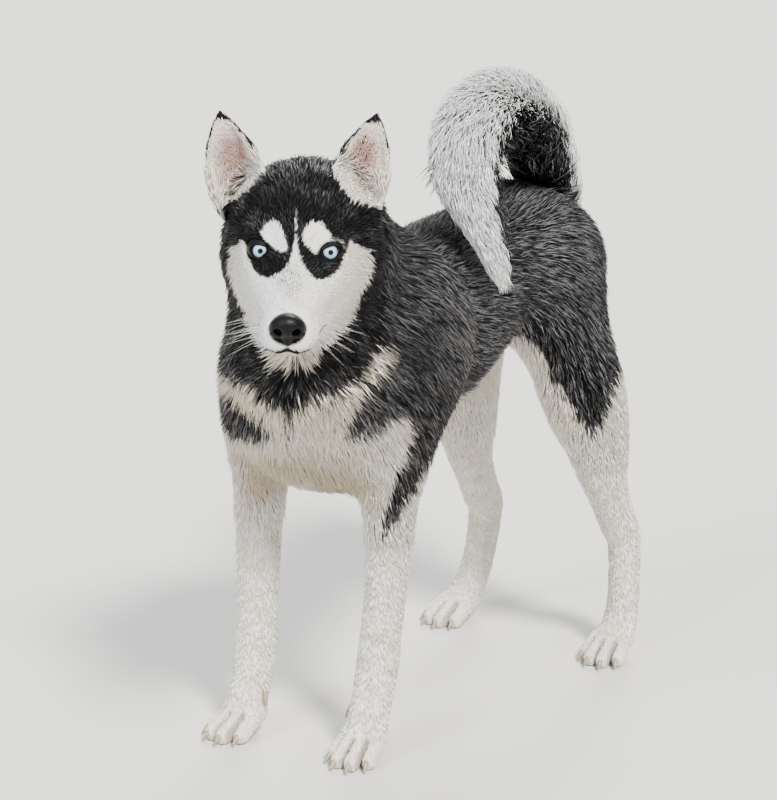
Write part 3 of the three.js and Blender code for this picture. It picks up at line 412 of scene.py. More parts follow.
def part_weights(p, parts):
    """Share of each part at a place; the whole head counts as head, also where the neck runs through it."""
    d = np.stack(parts, 1)
    w = np.exp(-np.clip(d - d.min(1, keepdims=True), 0, 120) / PART_BLEND)
    w /= w.sum(1, keepdims=True)
    share = smoothstep(26, 9, d[:, HEAD_PART]) * smoothstep(104, 74, to_head(p)[:, 1])
    w *= 1 - share[:, None]
    w[:, HEAD_PART] += share
    return w


# Coat depth: how far the skin lies under the tips of the hair, first on the trunk, chest, neck and
# croup, then on a foot, at the foot of a leg and at its top.
BODY_COATS = (12, 13, 15, 12)
FOOT_COAT = 1.6
LEG_COAT = (2.8, 9.0)
RUFF_REGION = capsule([-12, -160, 470], [58, -268, 560], 70, 46)
CHEST_REGION = capsule([-10, -215, 440], [-10, -215, 340], 42, 40)
BREECH_REGIONS = [
    capsule([MID + s * 62, 275, 440], [MID + s * 88, 292, 262], 26, 26) for s in (-1, 1)
]
RUFF_EXTRA, BREECH_EXTRA = 4, 5
# The tail under its hair: the solids' stations, fuller on the inside of the curl at the root and
# drawn in towards a pointed wisp at the tip. The core takes a share of the hair's reach.
HAIR_TAIL = [
    TAIL[0],
    *([x - 6, y - 4, z, reach] for x, y, z, reach in TAIL[1:4]),
    *TAIL[4:11],
    [61, 4, 557, 24], [80, -2, 534, 17], [92, -4, 510, 11], [99, -2, 492, 5],
]
CORE_SHARES = [0.6, 0.75, 0.82, 0.8, 0.62] + [0.45] * (len(HAIR_TAIL) - 5)
tail_core = chain([[*row[:3], row[3] * share] for row, share in zip(HAIR_TAIL, CORE_SHARES)])


def head_coat(q):
    m = mirrored(q)
    back = smoothstep(-30, 60, q[:, 1])
    cheek = smoothstep(38, 62, m[:, 0]) * smoothstep(0, 50, q[:, 1]) * (1 - smoothstep(-10, 25, q[:, 2]))
    throat = smoothstep(0, 50, q[:, 1]) * (1 - smoothstep(-80, -40, q[:, 2]))
    eye = 1 - smoothstep(12, 26, np.linalg.norm(m - EYE, axis=1))
    under_lip = smoothstep(-66, -72, q[:, 2]) * smoothstep(-60, -80, q[:, 1])
    return (1.3 + 3.6 * back + 6 * cheek + 6 * throat + 3.5 * under_lip) * (1 - 0.5 * eye)


def coat_depth(p, weights):
    rise = smoothstep(140, 380, p[:, 2])
    leg = LEG_COAT[0] + (LEG_COAT[1] - LEG_COAT[0]) * rise
    full = np.ones(len(p))
    body_coats = [depth * full for depth in BODY_COATS]
    depths = np.stack([*body_coats, leg, FOOT_COAT * full, head_coat(to_head(p))], 1)
    ruff = np.maximum(1 - smoothstep(0, 40, RUFF_REGION(p)), 1 - smoothstep(0, 40, CHEST_REGION(p)))
    breech = np.max([1 - smoothstep(0, 24, region(p)) for region in BREECH_REGIONS], axis=0)
    extra = RUFF_EXTRA * ruff * (1 - weights[:, HEAD_PART]) + BREECH_EXTRA * breech
    return (depths * weights).sum(1) + extra


def body_coated(p):
    """The body without its tail and ears, as deep as its skin lies."""
    parts = part_fields(p)
    return joined_body(parts) + coat_depth(p, part_weights(p, parts))


def table_at(table, v):
    table = np.array(table, float)
    return np.interp(v, table[:, 0], table[:, 1])


def ear_frame(q):
    """Place across the ear from -1 to 1, distance behind its front edge, half its width and its depth."""
    m = mirrored(q)
    z = m[:, 2]
    inner, outer = table_at(EAR_INNER, z), table_at(EAR_OUTER, z)
    half = np.maximum((outer - inner) / 2, 1.5)
    across = (m[:, 0] - (inner + outer) / 2) / half
    return across, m[:, 1] - table_at(EAR_FRONT, z), half, table_at(EAR_DEPTH, z)


EAR_INSET = 1.0
EAR_RIM = 3.2


def ear_field(q):
    across, behind, half, depth = ear_frame(q)
    wall = 3.4 + 3 * (1 - smoothstep(10, 60, q[:, 2]))
    out_half, out_depth = half - EAR_INSET, depth - EAR_INSET
    back = np.clip(behind, 0, None)
    outer = np.sqrt((across * half / out_half) ** 2 + (back / out_depth) ** 2)
    outer = (outer - 1) * np.minimum(out_half, out_depth) * 0.9
    in_half = np.maximum(half - EAR_RIM - EAR_INSET, 0.6)
    in_depth = np.maximum(out_depth - wall, 0.4)
    inner = np.sqrt((across * half / in_half) ** 2 + (back / in_depth) ** 2)
    inner = (inner - 1) * np.minimum(in_half, in_depth)
    front = -behind + 0.5
    shell = smooth_max(smooth_max(outer, -inner, 1.2), front, 1.5)
    z = q[:, 2]
    return np.maximum(np.maximum(shell, z - EAR_TOP + EAR_INSET), 8 - z)


ears = in_head(ear_field)
SOCKET = 11.6


def sockets(p):
    m = mirrored(to_head(p))
    return (np.linalg.norm(m - EYE, axis=1) - SOCKET) * HEAD_SIZE


# The line of the mouth from under the nose to its left corner, in the head's frame.
MOUTH_LINE = [
    [0, -106, -62], [9, -104, -66], [19, -92, -69], [27, -70, -66], [33, -44, -63], [37, -28, -67],
]
MOUTH_WIDTH = 2.2


def from_segment(p, a, b):
    """Distance of places from a straight piece between a and b, in any number of dimensions."""
    a, b = np.array(a, float), np.array(b, float)
    t = np.clip((p - a) @ (b - a) / ((b - a) @ (b - a)), 0, 1)
    return np.linalg.norm(p - a - t[:, None] * (b - a), axis=1)


def mouth_groove(q):
    """Distance from the line of the mouth, in the head's frame."""
    m = mirrored(q)
    return np.min([from_segment(m, a, b) for a, b in zip(MOUTH_LINE, MOUTH_LINE[1:])], axis=0)


FLOOR_CLEAR = 0.3
# Gaps between the toes, seen from above, in the foot's own frame: from x, y to x, y.
TOE_GAPS = [([0, -8], [0, -38]), ([13.5, -2], [16, -27]), ([-13.5, -2], [-16, -27])]
GAP_HALF, GAP_DEEP = 1.7, 3.6


def toe_gap(p):
    """Distance sideways from the nearest gap between two toes."""
    best = np.full(len(p), FAR)
    for x, y, toe_out, _ in FEET:
        near = (p[:, 2] < 36) & (np.abs(p[:, 0] - x) < 50) & (np.abs(p[:, 1] - y) < 50)
        if not near.any():
            continue
        c, s = cos_sin(toe_out)
        dx, dy = p[near, 0] - x, p[near, 1] - y
        flat = np.stack([c * dx + s * dy, c * dy - s * dx], 1)
        best[near] = np.min([best[near], *(from_segment(flat, a, b) for a, b in TOE_GAPS)], axis=0)
    return best


def skin_form(p):
    """The whole skin: body, tail and ears, with the eye sockets, the mouth and the toes cut in."""
    d = smooth_min(body_coated(p), tail_core(p), 12)
    near = in_box(p, HEAD_ORIGIN - 170, HEAD_ORIGIN + 170, 0)
    if near.any():
        h = p[near]
        e = smooth_min(d[near], ears(h), 5)
        e = smooth_max(e, -sockets(h), 1.5)
        e = smooth_max(e, MOUTH_WIDTH - mouth_groove(to_head(h)), 1.5)
        d[near] = e
    d = np.maximum(d, np.minimum(GAP_HALF - toe_gap(p), d + GAP_DEEP))
    return np.maximum(d, FLOOR_CLEAR - p[:, 2])


def spaced(*stops):
    """Grid lines between stops, each pair of stops with the pitch that follows the first."""
    lines = []
    for (start, pitch), (end, _) in zip(stops, stops[1:]):
        n = max(1, round((end - start) / pitch))
        lines.append(np.linspace(start, end, n, endpoint=False))
    return np.concatenate([*lines, [stops[-1][0]]])


CHUNK = 200000
BLOCK = 4


def padded(line):
    """A grid line carried on until its steps fill whole blocks."""
    extra = -(len(line) - 1) % BLOCK
    return np.concatenate([line, line[-1] + np.arange(1, extra + 1) * (line[-1] - line[-2])])


def mesh_of(*lines):
    return np.stack(np.meshgrid(*lines, indexing="ij"), -1).reshape(-1, 3)


def grid_values(field, axes):
    """A field on a grid, worked out only in the blocks of it that its surface can pass through."""
    n = np.array([len(a) for a in axes])
    blocks = (n - 1) // BLOCK
    coarse = field(mesh_of(*((a[:-1:BLOCK] + a[BLOCK::BLOCK]) / 2 for a in axes)))
    radii = np.linalg.norm(mesh_of(*(np.diff(a[::BLOCK]) for a in axes)), axis=1) / 2
    active = np.argwhere((np.abs(coarse) < radii * 1.7 + 3).reshape(blocks))
    values = np.where(coarse < 0, -FAR, FAR).reshape(blocks).astype(np.float32)
    for axis in range(3):
        values = np.repeat(values, BLOCK, axis)
    values = np.pad(values, ((0, 1),) * 3, mode="edge")
    needed = np.zeros(n, bool)
    offsets = mesh_of(*[np.arange(BLOCK + 1)] * 3)
    needed[tuple((active[:, None, :] * BLOCK + offsets).reshape(-1, 3).T)] = True
    spots = np.argwhere(needed)
    places = np.stack([axes[a][spots[:, a]] for a in range(3)], 1)
    chunks = range(0, len(places), CHUNK)
    values[tuple(spots.T)] = np.concatenate([field(places[i:i + CHUNK]) for i in chunks])
    return values


def crossed_cells(axes, values):
    """The cells that the surface passes through, numbered, with a point in each."""
    inside = values < 0
    cells = np.array(values.shape) - 1
    some, every = np.zeros(cells, bool), np.ones(cells, bool)
    corners = [(i, j, k) for i in (0, 1) for j in (0, 1) for k in (0, 1)]
    for i, j, k in corners:
        v = inside[i:i + cells[0], j:j + cells[1], k:k + cells[2]]
        some |= v
        every &= v
    found = np.argwhere(some & ~every)
    number = np.full(cells, -1)
    number[tuple(found.T)] = np.arange(len(found))
    total, count = np.zeros((len(found), 3)), np.zeros(len(found))
    at = {c: values[tuple((found + c).T)].astype(float) for c in corners}
    for corner in corners:
        for axis in range(3):
            if corner[axis]:
                continue
            other = tuple(1 if a == axis else v for a, v in enumerate(corner))
            a, b = at[corner], at[other]
            crossed = (a < 0) != (b < 0)
            t = np.clip(np.where(crossed, a / np.where(crossed, a - b, 1), 0), 0.02, 0.98)
            share = np.tile(np.array(corner, float), (len(found), 1))
            share[:, axis] = t
            total[crossed] += share[crossed]
            count[crossed] += 1
    share = total / count[:, None]
    low = np.stack([axes[a][found[:, a]] for a in range(3)], 1)
    high = np.stack([axes[a][found[:, a] + 1] for a in range(3)], 1)
    return number, low + share * (high - low)


def cell_quads(inside, number):
    """A quad round each grid edge that the surface crosses, between the points of its four cells."""
    n = inside.shape
    quads = []
    for axis in range(3):
        u, v = (axis + 1) % 3, (axis + 2) % 3
        first, second = [slice(None)] * 3, [slice(None)] * 3
        first[axis], second[axis] = slice(0, -1), slice(1, None)
        a, b = inside[tuple(first)], inside[tuple(second)]
        edge = np.argwhere(a != b)
        edge = edge[(edge[:, u] > 0) & (edge[:, v] > 0) & (edge[:, u] < n[u] - 1) & (edge[:, v] < n[v] - 1)]
        way = a[tuple(edge.T)]

        def cell(du, dv):
            spot = edge.copy()
            spot[:, u] += du
            spot[:, v] += dv
            return number[tuple(spot.T)]

        quad = np.stack([cell(-1, -1), cell(0, -1), cell(0, 0), cell(-1, 0)], 1)
        quads.append(np.where(way[:, None], quad, quad[:, ::-1]))
    return np.concatenate(quads)


def surface_of(field, axes, reach=1.0):
    """Largest surface of a field on a grid of lines: points drawn on to it and quads between them."""
    axes = [padded(a) for a in axes]
    values = grid_values(field, axes)
    number, points = crossed_cells(axes, values)
    quads = cell_quads(values < 0, number)
    for _ in range(2):
        slope = gradient(field, points, 0.3)
        move = -field(points)[:, None] * slope / ((slope * slope).sum(1, keepdims=True) + 1e-6)
        length = np.maximum(np.linalg.norm(move, axis=1), 1e-9)
        points = points + move * np.minimum(1, reach / length)[:, None]
    return largest_piece(points, quads)


def largest_piece(points, quads):
    """The piece of the surface with the most quads, without loose scraps."""
    label = np.arange(len(points))
    while True:
        least = label[quads].min(1)
        new = label.copy()
        np.minimum.at(new, quads, least[:, None])
        new = new[new]
        if (new == label).all():
            break
        label = new
    quads = quads[label[quads[:, 0]] == np.bincount(label[quads[:, 0]]).argmax()]
    used = np.unique(quads)
    renumber = np.full(len(points), -1)
    renumber[used] = np.arange(len(used))
    return points[used], renumber[quads]


GRID_X = spaced((-170, 2.4), (-8, 2.0), (206, 2.4), (222, 1))
GRID_Y = spaced((-474, 2.0), (-262, 2.6), (-140, 5.0), (205, 2.8), (300, 5.0), (400, 1))
GRID_Z = spaced((-6, 2.2), (74, 5.0), (474, 2.0), (700, 1))


# The photograph's viewing angle, fitted to the paws, joints and back line.
PHOTO_WIDTH, PHOTO_HEIGHT, FOCAL = 777, 800, 2400.0
CAMERA_ROUND, CAMERA_FAR, CAMERA_HIGH = 0.61871, 2527.0, 1021.3
CAMERA_PITCH, CAMERA_YAW, CAMERA_ROLL = 0.26081, 0.01427, 0.03046
camera_place = np.array([
    math.sin(CAMERA_ROUND) * CAMERA_FAR, -math.cos(CAMERA_ROUND) * CAMERA_FAR, CAMERA_HIGH,
])
camera_turn = CAMERA_ROUND + CAMERA_YAW
level_right = np.array([math.cos(camera_turn), math.sin(camera_turn), 0])
level_ahead = np.array([-math.sin(camera_turn), math.cos(camera_turn), 0])
camera_ahead = level_ahead * math.cos(CAMERA_PITCH) - np.array([0, 0, math.sin(CAMERA_PITCH)])
level_up = np.cross(level_right, camera_ahead)
camera_right = level_right * math.cos(CAMERA_ROLL) + level_up * math.sin(CAMERA_ROLL)
camera_up = level_up * math.cos(CAMERA_ROLL) - level_right * math.sin(CAMERA_ROLL)


def seen_at(p):
    """Where a place is seen in the photograph, in its pixels: the plane that the markings are drawn in."""
    d = p - camera_place
    w = d @ camera_ahead
    return np.stack([PHOTO_WIDTH / 2 + FOCAL * (d @ camera_right) / w,
                     PHOTO_HEIGHT / 2 - FOCAL * (d @ camera_up) / w], 1)


def outline_distance(points, outline):
    """Signed distance in the plane from a closed outline, negative inside."""
    a = np.array(outline, float)
    b = np.roll(a, -1, axis=0)
    best = np.full(len(points), 1e9)
    inside = np.zeros(len(points), bool)
    for (x0, y0), (x1, y1) in zip(a, b):
        ex, ey = x1 - x0, y1 - y0
        wx, wy = points[:, 0] - x0, points[:, 1] - y0
        t = np.clip((wx * ex + wy * ey) / (ex * ex + ey * ey), 0, 1)
        best = np.minimum(best, (wx - t * ex) ** 2 + (wy - t * ey) ** 2)
        crossing = (y0 > points[:, 1]) != (y1 > points[:, 1])
        inside ^= crossing & (wx < (points[:, 1] - y0) * ex / (ey if ey else 1e-9))
    return np.where(inside, -1, 1) * np.sqrt(best)


def within(points, outline, soft):
    return 1 - smoothstep(-soft, soft, outline_distance(points, outline))


# Outlines of the markings, each drawn as a few corners.
FACE_MASK = [
    (223, 262), (224, 251), (231, 247), (238, 245), (241, 239), (245, 244), (247, 254), (251, 264),
    (254, 271), (260, 276), (266, 278), (273, 276), (280, 272), (286, 267), (290, 260), (293.5, 250),
    (295, 236), (295.6, 212), (297, 212), (297.2, 236), (297.6, 250), (301, 260), (305, 268),
    (310, 274), (316, 280), (324, 279), (332, 276), (338, 270), (342, 263), (345, 254), (349, 246),
    (350, 240), (355, 244), (362, 247), (369, 251), (372, 259), (370, 270), (366, 283), (361, 295),
    (355, 306), (350, 316), (345, 326), (338, 335), (330, 343), (322, 348), (315, 356), (300, 362),
    (276, 361), (265, 351), (257, 342), (251, 333), (247, 322), (242, 311), (237, 301), (231, 290),
    (227, 279),
]
BROW_SPOTS = [
    [(261, 233), (265, 225), (272, 220), (279, 223), (283, 231), (286, 240), (288, 248), (283, 252),
     (276, 250), (270, 244), (264, 238)],
    [(302, 237), (306, 228), (312, 221), (319, 221), (325, 227), (331, 235), (330, 243), (324, 249),
     (317, 254), (311, 250), (305, 244)],
]
CHIN_TUFT = [
    (264, 350), (316, 350), (319, 359), (309, 372), (299, 366), (290, 377), (279, 366), (272, 374),
    (265, 362),
]
BRIDGE_GREY = [(270, 277), (290, 262), (300, 262), (305, 284), (298, 304), (286, 300), (276, 288)]
EAR_BASES = [
    [(207, 175), (207, 203), (222, 205), (236, 200), (249, 187), (266, 169), (255, 150), (215, 150)],
    [(332, 169), (342, 186), (352, 199), (368, 205), (385, 208), (391, 190), (388, 150), (345, 150)],
]
EAR_HOLLOWS = [
    [(216, 150), (232, 150), (244, 172), (241, 190), (226, 193), (216, 178)],
    [(352, 162), (365, 150), (378, 158), (377, 178), (366, 193), (353, 182)],
]
ABOVE_EYE = [(321, 248), (325, 241), (334, 238), (343, 241), (347, 248), (341, 247), (333, 243), (326, 246)]
DARK_BODY = [
    (150, 150), (150, 378), (208, 372), (222, 366), (236, 378), (250, 388), (266, 400), (283, 407),
    (296, 407), (307, 398), (320, 386), (333, 382), (343, 377), (350, 368), (358, 360), (369, 352),
    (381, 347), (387, 353), (382, 366), (373, 378), (365, 389), (356, 401), (348, 413), (343, 427),
    (350, 433), (366, 432), (380, 426), (392, 417), (402, 411), (408, 419), (408, 432), (406, 446),
    (402, 456), (397, 466), (392, 484), (387, 500), (384, 518), (382, 538), (390, 532), (398, 516),
    (405, 502), (412, 490), (420, 472), (430, 458), (442, 447), (456, 436), (470, 424), (482, 410),
    (492, 396), (500, 378), (507, 362), (518, 348), (530, 338), (538, 345), (546, 362), (555, 380),
    (565, 396), (575, 410), (583, 424), (590, 441), (598, 428), (605, 411), (612, 395), (617, 378),
    (621, 360), (660, 330), (660, 30), (400, 30),
]
CHEST_WEDGE = [
    (150, 380), (212, 381), (224, 388), (240, 400), (255, 412), (267, 422), (276, 432), (262, 436),
    (240, 434), (225, 428), (150, 412),
]
CHEST_CLEFT = [(283, 400), (292, 400), (291, 425), (288, 444), (285, 425)]
FORELEG_PATCH = [(226, 494), (236, 496), (242, 520), (240, 540), (230, 522)]
# Under the chest, between the forelegs: warm tan that is partly the coat's own colour and partly painted
# shade under the chest.
LOW_CHEST_TAN_AND_SHADE = [
    (240, 452), (300, 452), (350, 462), (372, 480), (362, 505), (330, 500), (300, 480), (250, 500),
]
# Places on the flank where silver guard hairs are thick or thin: across, down, reach, share.
SILVER = [
    (450, 300, 46, 0.34), (490, 340, 40, 0.22), (560, 250, 42, 0.38), (600, 320, 34, 0.20),
    (350, 410, 40, 0.20), (350, 330, 40, 0.10), (250, 380, 30, 0.15), (540, 210, 30, 0.20),
]
PLAIN = [(414, 350, 20, 0.5), (545, 350, 22, 0.4), (430, 230, 22, 0.3)]

WHITE = np.array([0.86, 0.84, 0.80])
COOL_WHITE = np.array([0.80, 0.81, 0.83])
CREAM = np.array([0.74, 0.64, 0.50])
SHADED_TAN = np.array([0.52, 0.41, 0.27])
BLACK = np.array([0.0046, 0.0043, 0.0048])
SILVER_HAIR = np.array([0.36, 0.355, 0.36])
EAR_SKIN = np.array([0.40, 0.25, 0.215])
# Dark brownish colour for the painted shade in the gaps between the toes.
TOE_GAP_SHADE = np.array([0.20, 0.15, 0.10])
TAIL_WHITE = 0.4 * WHITE + 0.6 * COOL_WHITE
EAR_CREAM = 0.6 * CREAM + 0.4 * WHITE

NOSE = np.array([0.0, -108.0, -43.0])
EYES_SEEN = seen_at(from_head([[side * EYE[0], EYE[1] - EYE_RADIUS, EYE[2]] for side in (-1, 1)]))

mottle_fine = waves(3, 9)
mottle = waves(4, 34)
CURL_CENTRE = np.array([16.0, 150.0, 574.0])
TAIL_STEPS = 6
tail_line = refine([row[:3] for row in HAIR_TAIL], TAIL_STEPS)
tail_ways = unit(np.gradient(tail_line, axis=0))


def mix(a, b, t):
    t = np.asarray(t)[..., None]
    return a * (1 - t) + b * t


def shares_at(p):
    """How far places on the skin belong to the tail and to the ears."""
    coated = body_coated(p)
    tail = smoothstep(9, 3, tail_core(p)) * smoothstep(2, 16, coated)
    ear = smoothstep(5, 1.5, ears(p)) * smoothstep(2, 9, coated)
    return tail, ear


def along_tail(p):
    """Nearest station of the tail, from 0 at the root, and the tail's direction there."""
    best = np.full(len(p), 1e9)
    index = np.zeros(len(p), int)
    for i, place in enumerate(tail_line):
        d = ((p - place) ** 2).sum(1)
        closer = d < best
        best[closer] = d[closer]
        index[closer] = i
    return index / TAIL_STEPS, tail_ways[index]


def any_within(points, outlines, soft):
    return np.max([within(points, outline, soft) for outline in outlines], axis=0)


# The legs are white on their inner sides up to these heights.
FORE_WHITE_TOP, HIND_WHITE_TOP = 350, 400


def inner_legs(p):
    inner = np.zeros(len(p))
    for table in LEG_TABLES:
        table = np.array(table, float)
        order = np.argsort(table[:, 2])
        centre = np.interp(p[:, 2], table[order, 2], table[order, 0])
        middle = np.interp(p[:, 2], table[order, 2], table[order, 1])
        sign = np.sign(table[4, 0] - MID)
        near = 1 - smoothstep(50, 85, np.abs(p[:, 1] - middle))
        same = (p[:, 0] - MID) * sign > 8
        medial = smoothstep(8, -14, (p[:, 0] - centre) * sign) * near * same * (p[:, 2] < HIND_WHITE_TOP)
        top = HIND_WHITE_TOP if table[4, 1] > 0 else FORE_WHITE_TOP
        inner = np.maximum(inner, medial * smoothstep(top, top - 50, p[:, 2]))
    return inner


def body_dark(p, normal, seen, side, front):
    """How dark the coat of the trunk and the legs is."""
    ragged = 2.6 * np.stack([mottle_fine(p), mottle_fine(p + 40)], 1)
    dark_front = np.maximum(within(seen + ragged, DARK_BODY, 4.5), within(seen + ragged, CHEST_WEDGE, 4))
    dark_front = np.maximum(dark_front, 0.75 * within(seen, FORELEG_PATCH, 3))
    dark_front = np.maximum(dark_front, 0.65 * within(seen, CHEST_CLEFT, 2.5))
    dark_side = within(side + ragged, DARK_BODY, 4.5)
    dark = np.where(p[:, 0] < MID, dark_front * front + dark_side * (1 - front), dark_front)
    # The belly, the insides of the legs and the parts that face away underneath are light.
    steep = 0.4 * smoothstep(-150, -190, p[:, 1])
    middle = 1 - smoothstep(40, 95, np.abs(p[:, 0] - MID))
    under = smoothstep(-0.25, -0.7, normal[:, 2] + steep) * middle
    dark = dark * (1 - under * (1 - smoothstep(400, 430, p[:, 2])))
    return dark * (1 - inner_legs(p))


def body_light(p, seen, dark, front):
    """Colour of the light coat of the trunk and the legs."""
    light = mix(WHITE, CREAM, np.clip(0.3 + 0.22 * mottle(p), 0, 1))
    # Darker tan under the chest: partly the coat's own warmth and partly painted shade under the chest.
    tan_and_shade = within(seen, LOW_CHEST_TAN_AND_SHADE, 16) * smoothstep(-100, -160, p[:, 1])
    light = mix(light, SHADED_TAN, np.clip(0.8 * tan_and_shade, 0, 1))
    light = mix(light, CREAM, 0.2 * smoothstep(440, 400, p[:, 2]) * smoothstep(250, 340, p[:, 2]))
    band = smoothstep(436, 405, seen[:, 1]) * (1 - dark) * front
    return mix(light, CREAM, np.clip(0.85 * band, 0, 1))


def head_marks(p, q, seen, front):
    """How light the head is, its white, and the shares of the chin's tuft and of the ears' bases."""
    jaw = smoothstep(-68, -78, q[:, 2]) * (1 - smoothstep(-52, -30, q[:, 1]))
    face = within(seen, FACE_MASK, 1.6) * (1 - smoothstep(46, 64, q[:, 1]))
    thin = smoothstep(252, 236, seen[:, 1]) * smoothstep(8, 4, np.abs(seen[:, 0] - 296))
    face = face * (1 - 0.42 * thin)
    spots = any_within(seen, BROW_SPOTS, 1.5) * (q[:, 1] < 40)
    chin = within(seen, CHIN_TUFT, 3) * front * (0.72 + 0.28 * mottle_fine(p))
    light = np.maximum(np.maximum(face, spots), np.maximum(jaw, chin))
    eye_gap = np.min([np.linalg.norm(seen - place, axis=1) for place in EYES_SEEN], axis=0)
    light = light * smoothstep(10.0, 12.0, eye_gap)
    ear_base = any_within(seen, EAR_BASES, 2.5) * smoothstep(95, 70, q[:, 1])
    light = np.maximum(light, ear_base)
    light = light * (1 - 0.34 * within(seen, BRIDGE_GREY, 6) * (q[:, 1] < 30))
    light = light * smoothstep(0.85, 1.0, np.linalg.norm((q - NOSE) / [19, 15, 17], axis=1))
    light = np.maximum(light, 0.45 * within(seen, ABOVE_EYE, 2) * (q[:, 1] < 30))
    cream = np.clip(0.75 * smoothstep(26, 50, np.abs(q[:, 0])) + 0.9 * chin + 0.6 * jaw, 0, 1)
    # The white turns cool towards the dog's right side of the face: painted shade on the side that the key
    # lamp lights less.
    white = mix(mix(WHITE, COOL_WHITE, smoothstep(300, 262, seen[:, 0])), CREAM, 0.55 * cream)
    return light, white, chin, ear_base


def silver_at(p, q, side, weights):
    """Share of silver guard hairs in the dark coat."""
    silver = np.full(len(p), 0.2)
    for across, down, reach, share in SILVER:
        silver += share * np.exp(-((side - (across, down)) ** 2).sum(1) / reach ** 2)
    for across, down, reach, share in PLAIN:
        silver *= 1 - share * np.exp(-((side - (across, down)) ** 2).sum(1) / reach ** 2)
    crown = smoothstep(40, 75, q[:, 1]) * smoothstep(20, 50, q[:, 2])
    on_head = weights[:, HEAD_PART]
    silver = silver * (1 - on_head) + on_head * (0.04 + 0.4 * crown)
    return np.clip(silver + 0.05 * mottle(p), 0.02, 0.8)


def tail_dark(p, normal):
    """The tail is white outside and at its tip, and black inside its curl and at its root."""
    station, _ = along_tail(p)
    inward = (normal * unit(CURL_CENTRE - p)).sum(1)
    first_half = 1 - smoothstep(6, 8, station)
    low, high = 0.02 - 0.24 * first_half, 0.42 - 0.24 * first_half
    black = smoothstep(low, high, inward + 0.12 * mottle_fine(p))
    black = black * (1 - smoothstep(11.2, 12.4, station))
    root = 0.8 * (1 - smoothstep(0.4, 1.4, station))
    return np.maximum(black, root * smoothstep(-0.7, -0.2, inward))


def ear_cup(q, across, facing, ear_base):
    """Share of the ear's cream cup; its back and its upper rim are black."""
    cup = smoothstep(0.45, 0.0, facing) * smoothstep(1.35, 0.99, np.abs(across))
    cup = np.maximum(cup, ear_base * smoothstep(0.5, 0.1, facing))
    rim = smoothstep(60, 84, q[:, 2]) * smoothstep(0.80, 0.93, np.abs(across))
    return cup * (1 - np.maximum(rim, smoothstep(103, 108, q[:, 2])))


def colour_at(p, normal, weights, tail, ear):
    """Colour of the light coat, how dark the coat is and the share of silver guard hairs."""
    q = to_head(p)
    front = smoothstep(-150, -200, p[:, 1] - 0.4 * (p[:, 0] - MID))
    right = p[:, 0] < MID
    twin = p.copy()
    twin[right, 0] = 2 * MID - twin[right, 0]
    seen, side = seen_at(p), seen_at(twin)
    dark = body_dark(p, normal, seen, side, front)
    light = body_light(p, seen, dark, front)
    on_head = weights[:, HEAD_PART] * (1 - smoothstep(70, 100, q[:, 1]))
    head_light, head_white, chin, ear_base = head_marks(p, q, seen, front)
    light = mix(light, head_white, on_head)
    dark = dark * (1 - on_head) + (1 - head_light) * on_head
    dark = dark * (1 - chin * (1 - on_head))
    light = mix(light, 0.8 * CREAM, 0.8 * np.clip(chin, 0, 1))
    silver = silver_at(p, q, side, weights)
    # Painted shade: the light coat turns a dark brownish tone in the gaps between the toes.
    light = mix(light, TOE_GAP_SHADE, 0.75 * np.exp(-(toe_gap(p) / 2.3) ** 2))
    if (tail > 0).any():
        dark = dark * (1 - tail) + tail_dark(p, normal) * tail
        light = mix(light, TAIL_WHITE, tail)
        silver = silver * (1 - tail) + 0.12 * tail
    if (ear > 0).any():
        across = ear_frame(q)[0]
        facing = (normal @ HEAD_AXES)[:, 1]
        cup = ear_cup(q, across, facing, ear_base)
        centre = (1 - smoothstep(0.25, 0.8, np.abs(across + 0.1))) * smoothstep(104, 80, q[:, 2])
        inside = mix(EAR_CREAM, EAR_SKIN, np.clip(0.9 * centre, 0, 1))
        light = mix(light, inside, ear * cup)
        dark = dark * (1 - ear) + (1 - cup) * ear
        dark = dark * (1 - ear_base * smoothstep(0.85, 0.45, facing))
        silver = silver * (1 - ear) + 0.03 * ear
    hollow = any_within(seen, EAR_HOLLOWS, 5) * np.maximum(ear, on_head)
    light = mix(light, EAR_SKIN, 0.62 * hollow * smoothstep(95, 70, q[:, 1]))
    return light, np.clip(dark, 0, 1), silver


def lie_at(p, normal, weights, tail, ear):
    """Direction in which the coat lies, along the skin."""
    side = np.sign(p[:, 0] - MID)[:, None]
    q = to_head(p)
    full = np.ones(len(p))
    turn = smoothstep(60, 20, np.abs(q[:, 0]))
    low = smoothstep(10, -30, q[:, 2]) * smoothstep(24, 50, np.abs(q[:, 0]))
    high = smoothstep(10, 40, q[:, 2]) * (1 - smoothstep(10, 50, q[:, 1]))
    head_way = np.stack([
        np.sign(q[:, 0]) * (0.25 + 0.5 * low) * (1 - 0.5 * turn),
        0.9 * full,
        0.55 * high - 0.75 * low - 0.1,
    ], 1)
    ways = np.stack([
        np.broadcast_to([0, 1, -0.22], p.shape),
        np.broadcast_to([0, 0.25, -1], p.shape) + side * [0.25, 0, 0],
        np.broadcast_to([-0.25, 0.75, -0.75], p.shape),
        np.broadcast_to([0, 0.8, -0.6], p.shape),
        np.broadcast_to([0, 0.22, -1], p.shape),
        np.broadcast_to([0, -0.75, -0.7], p.shape),
        unit(head_way) @ HEAD_AXES.T,
    ], 1)
    way = (ways * weights[:, :, None]).sum(1)
    _, tangent = along_tail(p)
    way = mix(way, tangent, tail)
    across = ear_frame(q)[0]
    outward = 0.2 + 0.75 * smoothstep(-0.3, -0.9, across)
    upward = np.stack([outward * np.sign(q[:, 0]), 0 * full, full], 1) @ HEAD_AXES.T
    way = mix(way, upward, ear)
    way = way + np.stack([waves(s, 55)(p) for s in (11, 12, 13)], 1) * 0.09
    way = way - normal * (way * normal).sum(1, keepdims=True)
    return unit(way)


